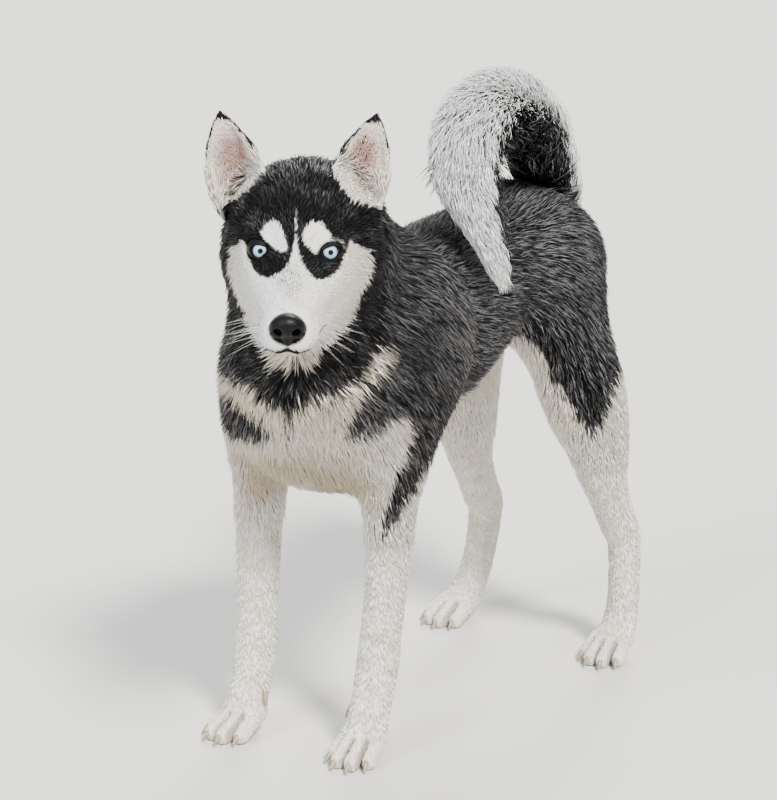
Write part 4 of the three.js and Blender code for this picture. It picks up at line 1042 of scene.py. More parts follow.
# Row frame: metres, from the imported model. The eye's solid, whose middle lies a little to the right of
# the eyeball's, tells where the dog's own frame lies in it.
EYE_SOLID_OFFSET = 0.2136
eye_low, eye_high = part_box("eye_left")
eye_middle = (np.array(eye_low) + np.array(eye_high)) * 500
row_shift = from_head([EYE])[0] - eye_middle - [EYE_SOLID_OFFSET, 0, 0]
row_shift[2] = 0


def to_row(p):
    return (np.asarray(p, float) - row_shift) / 1000


def added(name, data):
    made = bpy.data.objects.new(name, data)
    bpy.context.scene.collection.objects.link(made)
    return made


def mesh_object(name, points, faces, material):
    """An object in the row frame from points in millimetres and an array of triangles or quads."""
    faces = np.asarray(faces)
    mesh = bpy.data.meshes.new(name)
    mesh.vertices.add(len(points))
    mesh.vertices.foreach_set("co", to_row(points).astype(np.float32).ravel())
    mesh.loops.add(faces.size)
    mesh.loops.foreach_set("vertex_index", faces.astype(np.int32).ravel())
    mesh.polygons.add(len(faces))
    sides = faces.shape[1]
    mesh.polygons.foreach_set("loop_start", np.arange(0, faces.size, sides, dtype=np.int32))
    mesh.polygons.foreach_set("use_smooth", np.ones(len(faces), bool))
    mesh.update(calc_edges=True)
    mesh.materials.append(material)
    return added(name, mesh)


def set_colour(made, colours):
    layer = made.data.color_attributes.new("Coat", "FLOAT_COLOR", "POINT")
    rgba = np.concatenate([np.clip(colours, 0, 1), np.ones((len(colours), 1))], 1)
    layer.data.foreach_set("color", rgba.astype(np.float32).ravel())


def set_vector(made, name, values):
    layer = made.data.attributes.new(name, "FLOAT_VECTOR", "POINT")
    layer.data.foreach_set("vector", values.astype(np.float32).ravel())


class Nodes:
    """A material's node tree."""

    def __init__(self, name, roughness, **inputs):
        self.material = bpy.data.materials.new(name)
        self.material.use_nodes = True
        self.tree = self.material.node_tree
        self.shader = self.tree.nodes["Principled BSDF"]
        self.shader.inputs["Roughness"].default_value = roughness
        for key, value in inputs.items():
            self.shader.inputs[key.replace("_", " ")].default_value = value

    def add(self, kind, inputs=(), **settings):
        node = self.tree.nodes.new("ShaderNode" + kind)
        for key, value in settings.items():
            setattr(node, key, value)
        for key, value in dict(inputs).items():
            if isinstance(value, bpy.types.NodeSocket):
                self.tree.links.new(value, node.inputs[key])
            else:
                node.inputs[key].default_value = value
        return node

    def attribute(self, name, kind):
        return self.add("Attribute", attribute_name=name).outputs[kind]

    def place(self):
        return self.add("TexCoord").outputs["Object"]

    def noise(self, scale, detail, vector):
        inputs = {"Scale": scale, "Detail": detail, "Roughness": 0.55, "Vector": vector}
        return self.add("TexNoise", inputs).outputs["Fac"]

    def ramp(self, socket, low, high, to_low, to_high):
        return self.add("MapRange", {0: socket, 1: low, 2: high, 3: to_low, 4: to_high}).outputs[0]

    def paint(self, colour, socket, low, high):
        """Base colour, from low to high times a colour as the socket goes from 0.3 to 0.7."""
        tone = self.ramp(socket, 0.3, 0.7, low, high)
        scaled = self.add("VectorMath", {0: colour, 3: tone}, operation="SCALE")
        self.tree.links.new(scaled.outputs[0], self.shader.inputs["Base Color"])

    def bump(self, height, strength, distance):
        node = self.add("Bump", {"Height": height, "Strength": strength, "Distance": distance})
        self.tree.links.new(node.outputs[0], self.shader.inputs["Normal"])


def coat_material(name, roughness, streak_scale, strength, low=0.8, high=1.15):
    nodes = Nodes(name, roughness, Specular_IOR_Level=0.07)
    streak = nodes.noise(streak_scale, 2.0, nodes.attribute("strand", "Vector"))
    nodes.paint(nodes.attribute("Coat", "Color"), streak, low, high)
    nodes.bump(streak, strength, 0.0006)
    return nodes.material


def skin_material():
    nodes = Nodes("skin_coat", 0.75, Specular_IOR_Level=0.05)
    fine = nodes.noise(900, 3.0, nodes.place())
    nodes.paint(nodes.attribute("Coat", "Color"), fine, 0.8, 1.1)
    nodes.bump(fine, 0.6, 0.0008)
    return nodes.material


# One skin for the whole dog, under its coat.
skin_points, skin_quads = surface_of(skin_form, [GRID_X, GRID_Y, GRID_Z])
skin_normals = unit(gradient(skin_form, skin_points, 0.5))
skin_parts = part_fields(skin_points)
skin_weights = part_weights(skin_points, skin_parts)
skin_depth = coat_depth(skin_points, skin_weights)
skin_tail, skin_ear = shares_at(skin_points)
skin_places = (skin_points, skin_normals, skin_weights, skin_tail, skin_ear)
skin_light, skin_dark, _ = colour_at(*skin_places)
skin_lie = lie_at(*skin_places)
skin_limb = skin_weights[:, [LEG_PART, FOOT_PART]].sum(1, keepdims=True)
# The skin is painted darker than its hair, a little less so on the legs: painted shade in the gaps between
# the tufts.
skin_colour = mix(skin_light * (0.85 + 0.09 * skin_limb), BLACK * 0.8, skin_dark)
skin = mesh_object("skin", skin_points, skin_quads, skin_material())
set_colour(skin, skin_colour)
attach(skin, "root")
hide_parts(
    "torso", "hindquarters", "neck", "head", "ear_left", "ear_right",
    "foreleg_left", "foreleg_right", "hind_leg_left", "hind_leg_right",
    "forepaw_left", "forepaw_right", "hind_paw_left", "hind_paw_right",
    "tail_root", "tail_rise", "tail_top", "tail_fall", "tail_tip",
)

# Unwrap of the skin's own shape, for the skin and for the roots of its hair.
bpy.context.view_layer.objects.active = skin
skin.select_set(True)
skin.data.uv_layers.new(name="OFBake")
bpy.ops.object.mode_set(mode="EDIT")
bpy.ops.mesh.select_all(action="SELECT")
bpy.ops.uv.smart_project(angle_limit=math.radians(75), island_margin=0.001)
bpy.ops.object.mode_set(mode="OBJECT")
skin_uv = np.zeros(skin_quads.size * 2, np.float32)
skin.data.uv_layers["OFBake"].data.foreach_get("uv", skin_uv)
skin_uv = skin_uv.reshape(-1, 4, 2)

# The skin's quads as triangles, to root the hair on.
tri = np.concatenate([skin_quads[:, [0, 1, 2]], skin_quads[:, [0, 2, 3]]])
tri_uv = np.concatenate([skin_uv[:, [0, 1, 2]], skin_uv[:, [0, 2, 3]]])
tri_points = skin_points[tri]
tri_sides = tri_points[:, 1:] - tri_points[:, :1]
tri_area = np.linalg.norm(np.cross(tri_sides[:, 0], tri_sides[:, 1]), axis=1) / 2
tri_middle = tri_points.mean(1)
tri_weights = skin_weights[tri].mean(1)
tri_tail = skin_tail[tri].mean(1)
tri_ear = skin_ear[tri].mean(1)
tri_head = to_head(tri_middle)
UV_PATCH = 0.003
FLOOR_HAIR = 0.6
EYE_CLEAR = 12.8


def root_places(chosen, density, rng):
    """Even roots, so many per square millimetre: their triangles and shares of the three corners."""
    edges = np.cumsum(tri_area * density * chosen)
    count = int(edges[-1])
    marks = (np.arange(count) + rng.uniform(0, 1, count)) * edges[-1] / count
    index = np.searchsorted(edges, marks).clip(0, len(edges) - 1)
    a, b = rng.uniform(0, 1, (2, count))
    over = a + b > 1
    a[over], b[over] = 1 - a[over], 1 - b[over]
    return index, np.stack([1 - a - b, a, b], 1)


def only(rows, chosen):
    return {key: values[chosen] for key, values in rows.items()}


def rooted(chosen, density, size, rng):
    """What is known at each root: place, normal, lie of the coat, size, shares of parts and UV place."""
    index, share = root_places(chosen, density, rng)

    def at_root(values):
        picked = values[tri[index]]
        shares = share if picked.ndim == 2 else share[:, :, None]
        return (picked * shares).sum(1)

    rows = {
        "root": at_root(skin_points), "normal": unit(at_root(skin_normals)), "lie": at_root(skin_lie),
        "weights": at_root(skin_weights), "tail": at_root(skin_tail), "ear": at_root(skin_ear),
        "uv": (tri_uv[index] * share[:, :, None]).sum(1),
    }
    rows["length"], rows["width"], rows["height"] = size(rows["root"], at_root(skin_depth), rng)
    ends = rows["root"] + rows["lie"] * rows["length"][:, None]
    rows = only(rows, np.linalg.norm(mirrored(to_head(ends)) - EYE, axis=1) > EYE_CLEAR)
    root, normal, lie = rows["root"], rows["normal"], rows["lie"]
    clump = np.stack([waves(s, 26)(root) for s in (21, 22, 23)], 1)
    clump -= normal * (clump * normal).sum(1, keepdims=True)
    aside = np.cross(normal, lie)
    rows["lie"] = unit(lie + 0.13 * clump + aside * rng.normal(0, 0.15, (len(root), 1)))
    return rows


def hair_colours(rows, rng):
    """Colour of each tuft at its middle and towards its end, and the shade at its root."""
    root, tail, count = rows["root"], rows["tail"], len(rows["root"])
    length, height = rows["length"][:, None], rows["height"][:, None]
    jitter = rng.normal(0, 1, (count, 3)) * (0.04 * length + 0.3)
    shown = root + rows["lie"] * (0.5 * length) + rows["normal"] * (0.4 * height)
    shown[tail > 0.5] = root[tail > 0.5]
    light, dark, silver = colour_at(shown + jitter, rows["normal"], rows["weights"], tail, rows["ear"])
    tone = np.exp(rng.normal(0, 1, count) * (0.05 + 0.11 * tail))[:, None]
    dark_pick = np.clip((dark - rng.uniform(0.25, 0.75, count)) * 6 + 0.5, 0, 1)
    warm = rng.uniform(0.9, 1.1, (count, 1))
    deep = BLACK * np.exp(rng.normal(0, 0.3, (count, 1)))
    hair = mix(light * tone, deep, dark_pick)
    frosted = np.clip(silver * 4.5 * rng.uniform(0, 1, count) ** 3, 0, 0.95) * dark_pick
    limb = rows["weights"][:, LEG_PART] + rows["weights"][:, FOOT_PART]
    shade = np.where(dark_pick > 0.5, 0.6, 0.88 + 0.11 * limb - 0.33 * tail)[:, None]
    return hair, mix(hair, SILVER_HAIR * warm, frosted), shade


def bent_spines(rows, rings, local_height, pull):
    """The middle line of each tuft, ring by ring over the skin, and the way up at each ring."""
    place, lie, height = rows["root"].copy(), rows["lie"], rows["height"]
    full_height = local_height(place) if local_height else 1.0
    spine, ups, last = [], [], 0.0
    for s, rise, _ in rings:
        place = place + lie * (rows["length"] * (s - last))[:, None]
        last = s
        if s > 0:
            slope = gradient(skin_form, place, 0.6)
            steep = np.sqrt(np.maximum((slope * slope).sum(1), 0.25))
            out = unit(slope)
            shrink = np.minimum(local_height(place) / full_height, 1.0) if local_height else 1.0
            lift = np.clip(rise * height * shrink - skin_form(place) / steep, -pull, 14)
            place = place + out * lift[:, None]
        else:
            out = rows["normal"]
            place = place + out * rise
        spine.append(place)
        ups.append(out)
    return spine, ups


def tuft_faces(ring_count):
    """Triangles of one closed tuft: a base, three sides and a point."""
    faces = [(0, 2, 1)]
    for low in range(0, 3 * (ring_count - 2), 3):
        for c in range(3):
            d = (c + 1) % 3
            faces += [(low + c, low + d, low + d + 3), (low + c, low + d + 3, low + c + 3)]
    low = (ring_count - 2) * 3
    return np.array(faces + [(low + c, low + (c + 1) % 3, low + 3) for c in range(3)])


def tufts(name, chosen, density, rings, size, material, seed, local_height=None, pull=12):
    """Tapered, bent tufts of three sides, rooted in the skin and lying along it.

    rings: how far along the tuft, how high and how wide, as shares of its length, height and width.
    size() gives the length, the width and the height of the tip, per tuft. local_height(place) makes the
    height follow the place that the hair has reached."""
    rng = np.random.default_rng(seed)
    rows = rooted(chosen, density, size, rng)
    rows["hair"], rows["end"], rows["shade"] = hair_colours(rows, rng)
    rows["seed"] = rng.uniform(0, 50, (len(rows["root"]), 1))
    spine, ups = bent_spines(rows, rings, local_height, pull)
    # Hair that leaves the surface, turns aside or meets the floor is left out.
    kept_hair = skin_form(spine[-1]) < rows["height"] + 2
    kept_hair &= (unit(spine[-1] - spine[0]) * rows["lie"]).sum(1) > 0.45
    kept_hair &= np.min([place[:, 2] for place in spine], axis=0) > FLOOR_HAIR
    rows = only(rows, kept_hair)
    spine, ups = [v[kept_hair] for v in spine], [v[kept_hair] for v in ups]
    hair, shade, seeds, width = rows["hair"], rows["shade"], rows["seed"], rows["width"]
    count = len(hair)
    positions, colours, strands = [], [], []
    for k, (s, _, wide) in enumerate(rings):
        ahead = unit(spine[min(k + 1, len(rings) - 1)] - spine[max(k - 1, 0)])
        across = unit(np.cross(ahead, ups[k]))
        up = unit(np.cross(across, ahead))
        colour = mix(hair * (shade + (1 - shade) * min(1, s * 2)), rows["end"], smoothstep(0.2, 0.7, s))
        if k + 1 == len(rings):
            positions.append(spine[k])
            colours.append(colour)
            strands.append(np.concatenate([seeds, seeds, np.full((count, 1), s)], 1))
            continue
        for turn in (90, 210, 330):
            c, v = cos_sin(turn)
            offset = across * (c * wide * width / 2)[:, None] + up * (v * wide * width * 0.3)[:, None]
            along_strand = np.full((count, 1), s * 0.5)
            positions.append(spine[k] + offset)
            colours.append(colour)
            strands.append(np.concatenate([seeds + c * 0.5, seeds + v * 0.5, along_strand], 1))
    per = len(positions)
    faces = (np.arange(count)[:, None, None] * per + tuft_faces(len(rings))).reshape(-1, 3)
    made = mesh_object(name, np.stack(positions, 1).reshape(-1, 3), faces, material)
    set_colour(made, np.stack(colours, 1).reshape(-1, 3))
    set_vector(made, "strand", np.stack(strands, 1).reshape(-1, 3))
    # Each tuft has a small patch at its root's place on the skin's unwrap.
    turns = 2 * np.pi * np.arange(per) / per
    corner = (0.5 + 0.5 * np.stack([np.cos(turns), np.sin(turns)], 1)) * UV_PATCH - UV_PATCH / 2
    spread = (rows["uv"][:, None, :] + corner).reshape(-1, 2)[faces.ravel()]
    layer = made.data.uv_layers.new(name="OFBake")
    layer.data.foreach_set("uv", np.clip(spread, 0, 1).astype(np.float32).ravel())
    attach(made, "root")
    print(f"{name}: {count} tufts, {len(faces)} triangles")
    return made


def long_hair(rooted_length, rooted_width):
    def size(root, depth, rng):
        count = len(root)
        full = depth * rng.uniform(0.66, 1.02, count)
        length = rooted_length * (depth / 12) ** 0.5 * rng.uniform(0.8, 1.2, count)
        return length, rooted_width * rng.uniform(0.75, 1.25, count), full
    return size


def short_hair(rooted_length, rooted_width):
    def size(root, depth, rng):
        count = len(root)
        full = depth * rng.uniform(0.35, 0.7, count)
        length = (rooted_length + 1.4 * depth) * rng.uniform(0.8, 1.2, count)
        return length, rooted_width * rng.uniform(0.75, 1.25, count), full
    return size


def croup_hair(root, depth, rng):
    """Coat of the croup, which stands up in front of the tail's root."""
    length, width, height = long_hair(24, 1.5)(root, depth, rng)
    crest = np.exp(-((root[:, 0] + 30) / 17) ** 2 - ((root[:, 1] - 192) / 22) ** 2)
    return length * (1 + 0.3 * crest), width, height * (1 + 1.6 * crest)


def tail_reach(p):
    station, _ = along_tail(p)
    return np.interp(station, np.arange(len(HAIR_TAIL)), [row[3] for row in HAIR_TAIL])


def tail_hair(root, depth, rng):
    station, _ = along_tail(root)
    reach = tail_reach(root)
    count = len(root)
    axis_way = unit(root - tail_line[np.round(station * TAIL_STEPS).astype(int)])
    inner = smoothstep(0.4, 0.95, (axis_way * unit(CURL_CENTRE - root)).sum(1))
    inner *= smoothstep(0.3, 1.2, station)
    inner *= 1 - 0.4 * smoothstep(4, 7, station)
    grown = 0.65 + 0.35 * smoothstep(0.2, 1.8, station)
    free_share = 1 - np.interp(station, np.arange(len(HAIR_TAIL)), CORE_SHARES)
    height = reach * rng.uniform(0.7, 1.25, count) * (free_share * grown + 1.05 * inner)
    length = (16 + reach * 0.62) * rng.uniform(0.8, 1.15, count) * (grown + 0.7 * inner)
    return length, 1.9 * rng.uniform(0.75, 1.25, count), height


RINGS_TAIL = [(0.0, -0.8, 0.7), (0.35, 0.5, 1.0), (0.72, 0.85, 0.65), (1.0, 1.0, 0)]
RINGS_COAT = [(0.0, -0.8, 0.8), (0.46, 0.62, 1.0), (1.0, 1.0, 0)]
RINGS_SHORT = [(0.0, -0.5, 0.85), (0.5, 0.62, 0.9), (1.0, 1.0, 0)]

coat_long = coat_material("coat_long", 0.58, 9.0, 0.4)
coat_short = coat_material("coat_short", 0.62, 6.0, 0.15)
coat_limbs = coat_material("coat_limbs", 0.62, 6.0, 0.1, 0.95, 1.05)

# The parts of the skin that the coat's pieces grow on, parted at these places along the dog and heights.
CHEST_END, CROUP_START = -120, 90
NECK_FOOT, CROUP_FOOT, LEG_TOP, SOLE_TOP = 430, 440, 250, 2.5
along, high = tri_middle[:, 1], tri_middle[:, 2]
on_tail = tri_tail > 0.5
on_ear = (tri_ear > 0.5) & ~on_tail
on_head = (tri_weights[:, HEAD_PART] > 0.5) & ~on_ear
face_part = on_head & (tri_head[:, 1] < 30)
crown_part = on_head & ~face_part
free = ~(on_tail | on_ear | on_head | (high < SOLE_TOP))
foot_part = free & (tri_weights[:, FOOT_PART] > 0.5)
low_leg = free & ~foot_part & (tri_weights[:, LEG_PART] > 0.5) & (high < LEG_TOP)
trunk_part = free & ~foot_part & ~low_leg
foot_part &= toe_gap(tri_middle) >= 1.9
to_left = tri_middle[:, 0] > MID
neck_part = trunk_part & (along < CHEST_END) & (high > NECK_FOOT)
chest_part = trunk_part & (along < CHEST_END) & ~neck_part
middle_part = trunk_part & (along >= CHEST_END) & (along < CROUP_START)
croup_part = trunk_part & (along >= CROUP_START) & (high > CROUP_FOOT)
thigh_part = trunk_part & (along >= CROUP_START) & ~croup_part
by_eye = np.linalg.norm(mirrored(tri_head) - EYE, axis=1) < 11.9
by_nose = (tri_head[:, 1] < -93) & (np.abs(tri_head[:, 0]) < 17.5)
by_nose &= (tri_head[:, 2] > -59) & (tri_head[:, 2] < -30)
in_mouth = mouth_groove(tri_head) < MOUTH_WIDTH
face_part &= ~(by_eye | by_nose | in_mouth)

tufts("coat_neck", neck_part, 0.20, RINGS_COAT, long_hair(28, 1.75), coat_long, 101)
tufts("coat_chest", chest_part, 0.18, RINGS_COAT, long_hair(26, 1.85), coat_long, 110)
tufts(
    "coat_left", middle_part & to_left, 0.19, RINGS_COAT, long_hair(24, 1.55), coat_long, 102)
tufts(
    "coat_right", middle_part & ~to_left, 0.15, RINGS_COAT, long_hair(24, 1.8), coat_long, 112)
tufts("coat_croup", croup_part, 0.22, RINGS_COAT, croup_hair, coat_long, 103)
tufts("coat_thighs", thigh_part, 0.155, RINGS_COAT, long_hair(23, 1.75), coat_long, 111)
tufts("coat_tail", on_tail, 0.205, RINGS_TAIL, tail_hair, coat_long, 104, tail_reach, 3)
tufts("coat_legs", low_leg, 0.13, RINGS_SHORT, short_hair(5.5, 1.6), coat_limbs, 105)
tufts("coat_feet", foot_part, 0.34, RINGS_SHORT, short_hair(1.5, 1.05), coat_limbs, 106)
tufts("coat_face", face_part, 0.40, RINGS_SHORT, short_hair(3.8, 0.97), coat_short, 107)
tufts("coat_crown", crown_part, 0.23, RINGS_SHORT, short_hair(5, 1.3), coat_short, 108)


def ear_hair(root, depth, rng):
    count = len(root)
    q = to_head(root)
    across, behind, _, ear_depth = ear_frame(q)
    fringe = smoothstep(-0.25, -0.85, across) * smoothstep(96, 62, q[:, 2])
    fringe = np.maximum(fringe, 0.8 * smoothstep(62, 44, q[:, 2]))
    hidden = smoothstep(0, 6, behind - 0.7 * ear_depth)
    length = (6 + 9 * fringe * (1 - hidden) - 1.5 * hidden) * rng.uniform(0.8, 1.2, count)
    height = rng.uniform(0.6, 1.3, count) * (1 + 2.5 * fringe)
    return length, 1.2 * rng.uniform(0.8, 1.2, count), height


tufts("coat_ears", on_ear, 0.33, RINGS_SHORT, ear_hair, coat_short, 109)


# Eyes
def sphere_points(rows, columns):
    """Unit sphere about -Y: rows of points from its front pole to its back pole."""
    a = np.linspace(0, np.pi, rows + 1)[1:-1]
    b = np.linspace(0, 2 * np.pi, columns, endpoint=False)
    rings = np.stack([np.outer(np.sin(a), np.cos(b)), -np.outer(np.cos(a), np.ones(columns)),
                      np.outer(np.sin(a), np.sin(b))], -1)
    points = np.concatenate([[[0, -1, 0]], rings.reshape(-1, 3), [[0, 1, 0]]])
    faces = []
    for j in range(columns):
        k = (j + 1) % columns
        faces.append((0, 1 + j, 1 + k))
        for i in range(rows - 2):
            p, q = 1 + i * columns, 1 + (i + 1) * columns
            faces += [(p + j, q + j, q + k), (p + j, q + k, p + k)]
        last = 1 + (rows - 2) * columns
        faces.append((last + j, len(points) - 1, last + k))
    return points, np.array(faces)


IRIS_RADIUS = 6.9
# The black pupil, the pale blue iris and its dark rim, by share of the iris' radius.
IRIS_STOPS = [
    (0.0, (0.004, 0.004, 0.005)), (0.315, (0.004, 0.004, 0.006)), (0.35, (0.16, 0.27, 0.38)),
    (0.45, (0.36, 0.52, 0.64)), (0.75, (0.30, 0.47, 0.62)), (0.90, (0.12, 0.24, 0.38)),
    (0.985, (0.01, 0.015, 0.025)), (1.0, (0.006, 0.005, 0.005)),
]


def eye_material():
    nodes = Nodes("eye", 0.2, Specular_IOR_Level=0.03, Coat_Weight=0.2, Coat_Roughness=0.03)
    disc = nodes.attribute("iris", "Vector")
    rim = nodes.add("SeparateXYZ", {0: disc}).outputs[0]
    fibres = nodes.ramp(nodes.noise(5.0, 4.0, disc), 0, 1, -0.04, 0.04)
    shifted = nodes.add("Math", {0: rim, 1: fibres}, operation="ADD").outputs[0]
    ramp = nodes.add("ValToRGB", {0: shifted})
    elements = ramp.color_ramp.elements
    elements[0].position, elements[1].position = 0, 1
    for position, colour in IRIS_STOPS[1:-1]:
        elements.new(position).color = (*colour, 1)
    elements[0].color = (*IRIS_STOPS[0][1], 1)
    elements[-1].color = (*IRIS_STOPS[-1][1], 1)
    nodes.paint(ramp.outputs["Color"], nodes.noise(16.0, 3.0, disc), 0.8, 1.2)
    return nodes.material


# Where the left and the right eye look, in the head's frame.
EYE_GAZE = {1: (0.19, -0.97, 0.12), -1: (0.18, -0.97, 0.13)}
eye_paint = eye_material()
ball, ball_faces = sphere_points(40, 48)
for side, name in ((1, "eye_left"), (-1, "eye_right")):
    forward = unit(np.array(EYE_GAZE[side]))
    across = unit(np.cross(forward, [0, 0, 1]))
    upward = np.cross(across, forward)
    turn = np.stack([across, -forward, upward], 1)
    angle = np.arccos(np.clip(-ball[:, 1], -1, 1))
    bulge = 1 + 0.07 * np.clip(1 - (angle / math.asin(IRIS_RADIUS / EYE_RADIUS)) ** 2, 0, 1)
    places = (ball * bulge[:, None] * EYE_RADIUS) @ turn.T + np.array([side, 1, 1]) * EYE
    eye = mesh_object("eyeball_" + name, from_head(places), ball_faces, eye_paint)
    ring = np.sin(angle) * EYE_RADIUS / IRIS_RADIUS
    ring = np.where(angle > math.pi / 2, 1.5, ring)
    around = np.arctan2(ball[:, 2], ball[:, 0])
    set_vector(eye, "iris", np.stack([ring, 0.6 * np.cos(around), 0.6 * np.sin(around)], 1))
    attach(eye, "root")
    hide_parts(name)


def onto_coat(places, proud=0.0, steps=8):
    """Places moved to a height over the body's skin, which lies under its coat."""
    for _ in range(steps):
        slope = unit(gradient(body_coated, places, 0.5))
        places = places - slope * (body_coated(places) - proud)[:, None] * 0.8
    return places


# Lids: a dark rim from the edge of the slit outwards, on the eyeball first and then under the face's hair.
LID_WIDE, LID_HIGH, LID_TILT, LID_LOW = 9.8, 5.7, 18, 1.12
# Both slits lie a little to the dog's left and up, where it looks.
SLIT_ACROSS, SLIT_UP = 2.1, 0.4
LID_COLUMNS = 56
LID_STEPS = [
    (0.0, -0.6), (0.0, 0.75), (0.5, 1.3), (1.3, 1.4), (2.4, 0.9), (3.8, 0.1), (5.4, -0.8), (7.0, -1.6),
]
lid_nodes = Nodes("lid", 0.55, Specular_IOR_Level=0.08)
lid_nodes.paint((0.006, 0.005, 0.005), lid_nodes.noise(700, 4.0, lid_nodes.place()), 0.6, 1.5)
lid_nodes.bump(lid_nodes.noise(1500, 2.0, lid_nodes.place()), 0.4, 0.0003)


def lid_edge(angle, side):
    """Slit between the lids: sideways and upwards from the middle of the eye."""
    c, s = np.cos(angle), np.sin(angle)
    x = LID_WIDE * np.sign(c) * np.abs(c) ** 0.9
    z = LID_HIGH * s * np.abs(s) ** 0.1 * np.where(s < 0, LID_LOW, 1.0)
    level, raised = cos_sin(LID_TILT)
    return side * (x * level - z * raised) + SLIT_ACROSS, x * raised + z * level + SLIT_UP


lid_faces = []
for i in range(0, (len(LID_STEPS) - 1) * LID_COLUMNS, LID_COLUMNS):
    for j in range(LID_COLUMNS):
        k = (j + 1) % LID_COLUMNS
        lid_faces.append((i + j, i + k, i + LID_COLUMNS + k, i + LID_COLUMNS + j))
for side, name in ((1, "left"), (-1, "right")):
    angles = np.linspace(0, 2 * np.pi, LID_COLUMNS, endpoint=False)
    x, z = lid_edge(angles, side)
    radial = unit(np.stack([x - SLIT_ACROSS, z - SLIT_UP], 1))
    centre = np.array([side, 1, 1]) * EYE
    rows = []
    for out, proud in LID_STEPS:
        u, w = x + radial[:, 0] * out, z + radial[:, 1] * out
        flat = np.sqrt(u * u + w * w)
        on_ball = np.sqrt(np.clip((EYE_RADIUS + proud) ** 2 - flat ** 2, 1.0, None))
        place = from_head(np.stack([centre[0] + u, centre[1] - on_ball, centre[2] + w], 1))
        if out > 1.0:
            place = mix(place, onto_coat(place, proud), smoothstep(0.8, 3.4, out))
        rows.append(place)
    # The right lids are drawn mirrored, so the order of their corners is turned round.
    faces = np.array(lid_faces)[:, ::side]
    lid = mesh_object("lids_" + name, np.concatenate(rows), faces, lid_nodes.material)
    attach(lid, "root")

# Nose
nose_nodes = Nodes("nose", 0.33, Specular_IOR_Level=0.13)
nose_place = nose_nodes.place()
nose_nodes.paint((0.0035, 0.0032, 0.0032), nose_nodes.noise(220, 3.0, nose_place), 0.6, 1.6)
pebbles = nose_nodes.add("TexVoronoi", {"Vector": nose_place, "Scale": 900.0}, feature="F1")
nose_nodes.bump(pebbles.outputs["Distance"], 0.35, 0.0005)


def nose_form(q):
    m = mirrored(q)
    pad = ellipsoid([0, NOSE[1], NOSE[2] + 3], [14.5, 10.5, 11])(q)
    wing = ellipsoid([9.8, NOSE[1] + 4, NOSE[2] - 2], [7.6, 8, 8.5])(m)
    lip = ellipsoid([0, NOSE[1] + 3, NOSE[2] - 11], [5, 7, 6])(q)
    d = smooth_min(smooth_min(pad, wing, 6), lip, 5)
    hole = capsule([9.3, NOSE[1] - 14, NOSE[2] - 2.0], [7.2, NOSE[1] + 5, NOSE[2] - 0.5], 4.3, 3.2)(m)
    slit = capsule([10.5, NOSE[1] - 9, NOSE[2] - 2.5], [17, NOSE[1] + 2, NOSE[2] - 3.5], 1.4, 0.9)(m)
    groove = capsule([0, NOSE[1] - 12, NOSE[2] - 1], [0, NOSE[1] - 8, NOSE[2] - 19], 0.7, 0.9)(q)
    for cut, k in ((hole, 2.5), (slit, 1.5), (groove, 1.5)):
        d = smooth_max(d, -cut, k)
    return d


nose_grid = [np.arange(-21, 21.1, 0.75), np.arange(-124, -90, 0.75), np.arange(-66, -26, 0.75)]
nose_points, nose_quads = surface_of(nose_form, nose_grid, reach=0.4)
nose = mesh_object("nose_pad", from_head(nose_points), nose_quads, nose_nodes.material)
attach(nose, "root")
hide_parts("nose")


def tube(path, radii, sides):
    """Tapered tube with closed ends along a path of points."""
    path = np.asarray(path, float)
    ways = unit(np.gradient(path, axis=0))
    across = unit(np.cross(ways, np.where(np.abs(ways[:, 2:]) > 0.9, [[1.0, 0, 0]], [[0, 0, 1.0]])))
    up = np.cross(across, ways)
    points, faces = [], []
    for i, (place, radius) in enumerate(zip(path, radii)):
        for j in range(sides):
            t = 2 * math.pi * j / sides
            points.append(place + (across[i] * math.cos(t) + up[i] * math.sin(t)) * radius)
    for i in range(len(path) - 1):
        for j in range(sides):
            k = (j + 1) % sides
            a, b = i * sides, (i + 1) * sides
            faces += [(a + j, b + j, b + k), (a + j, b + k, a + k)]
    end = (len(path) - 1) * sides
    for j in range(1, sides - 1):
        faces += [(0, j, j + 1), (end, end + j + 1, end + j)]
    return np.array(points), np.array(faces)


def gathered(pieces):
    points, faces, start = [], [], 0
    for p, f in pieces:
        points.append(p)
        faces.append(f + start)
        start += len(p)
    return np.concatenate(points), np.concatenate(faces)


# Lips: the dark edge along the line of the mouth.
right_half = [[-x, y, z] for x, y, z in MOUTH_LINE[:0:-1]]
lip_places = onto_coat(from_head(refine([*right_half, *MOUTH_LINE], 5)), steps=6)
lip_radii = 1.5 * np.sin(np.linspace(0.12, math.pi - 0.12, len(lip_places))) ** 0.4
lips = mesh_object("lips", *tube(lip_places, lip_radii, 8), lid_nodes.material)
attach(lips, "root")

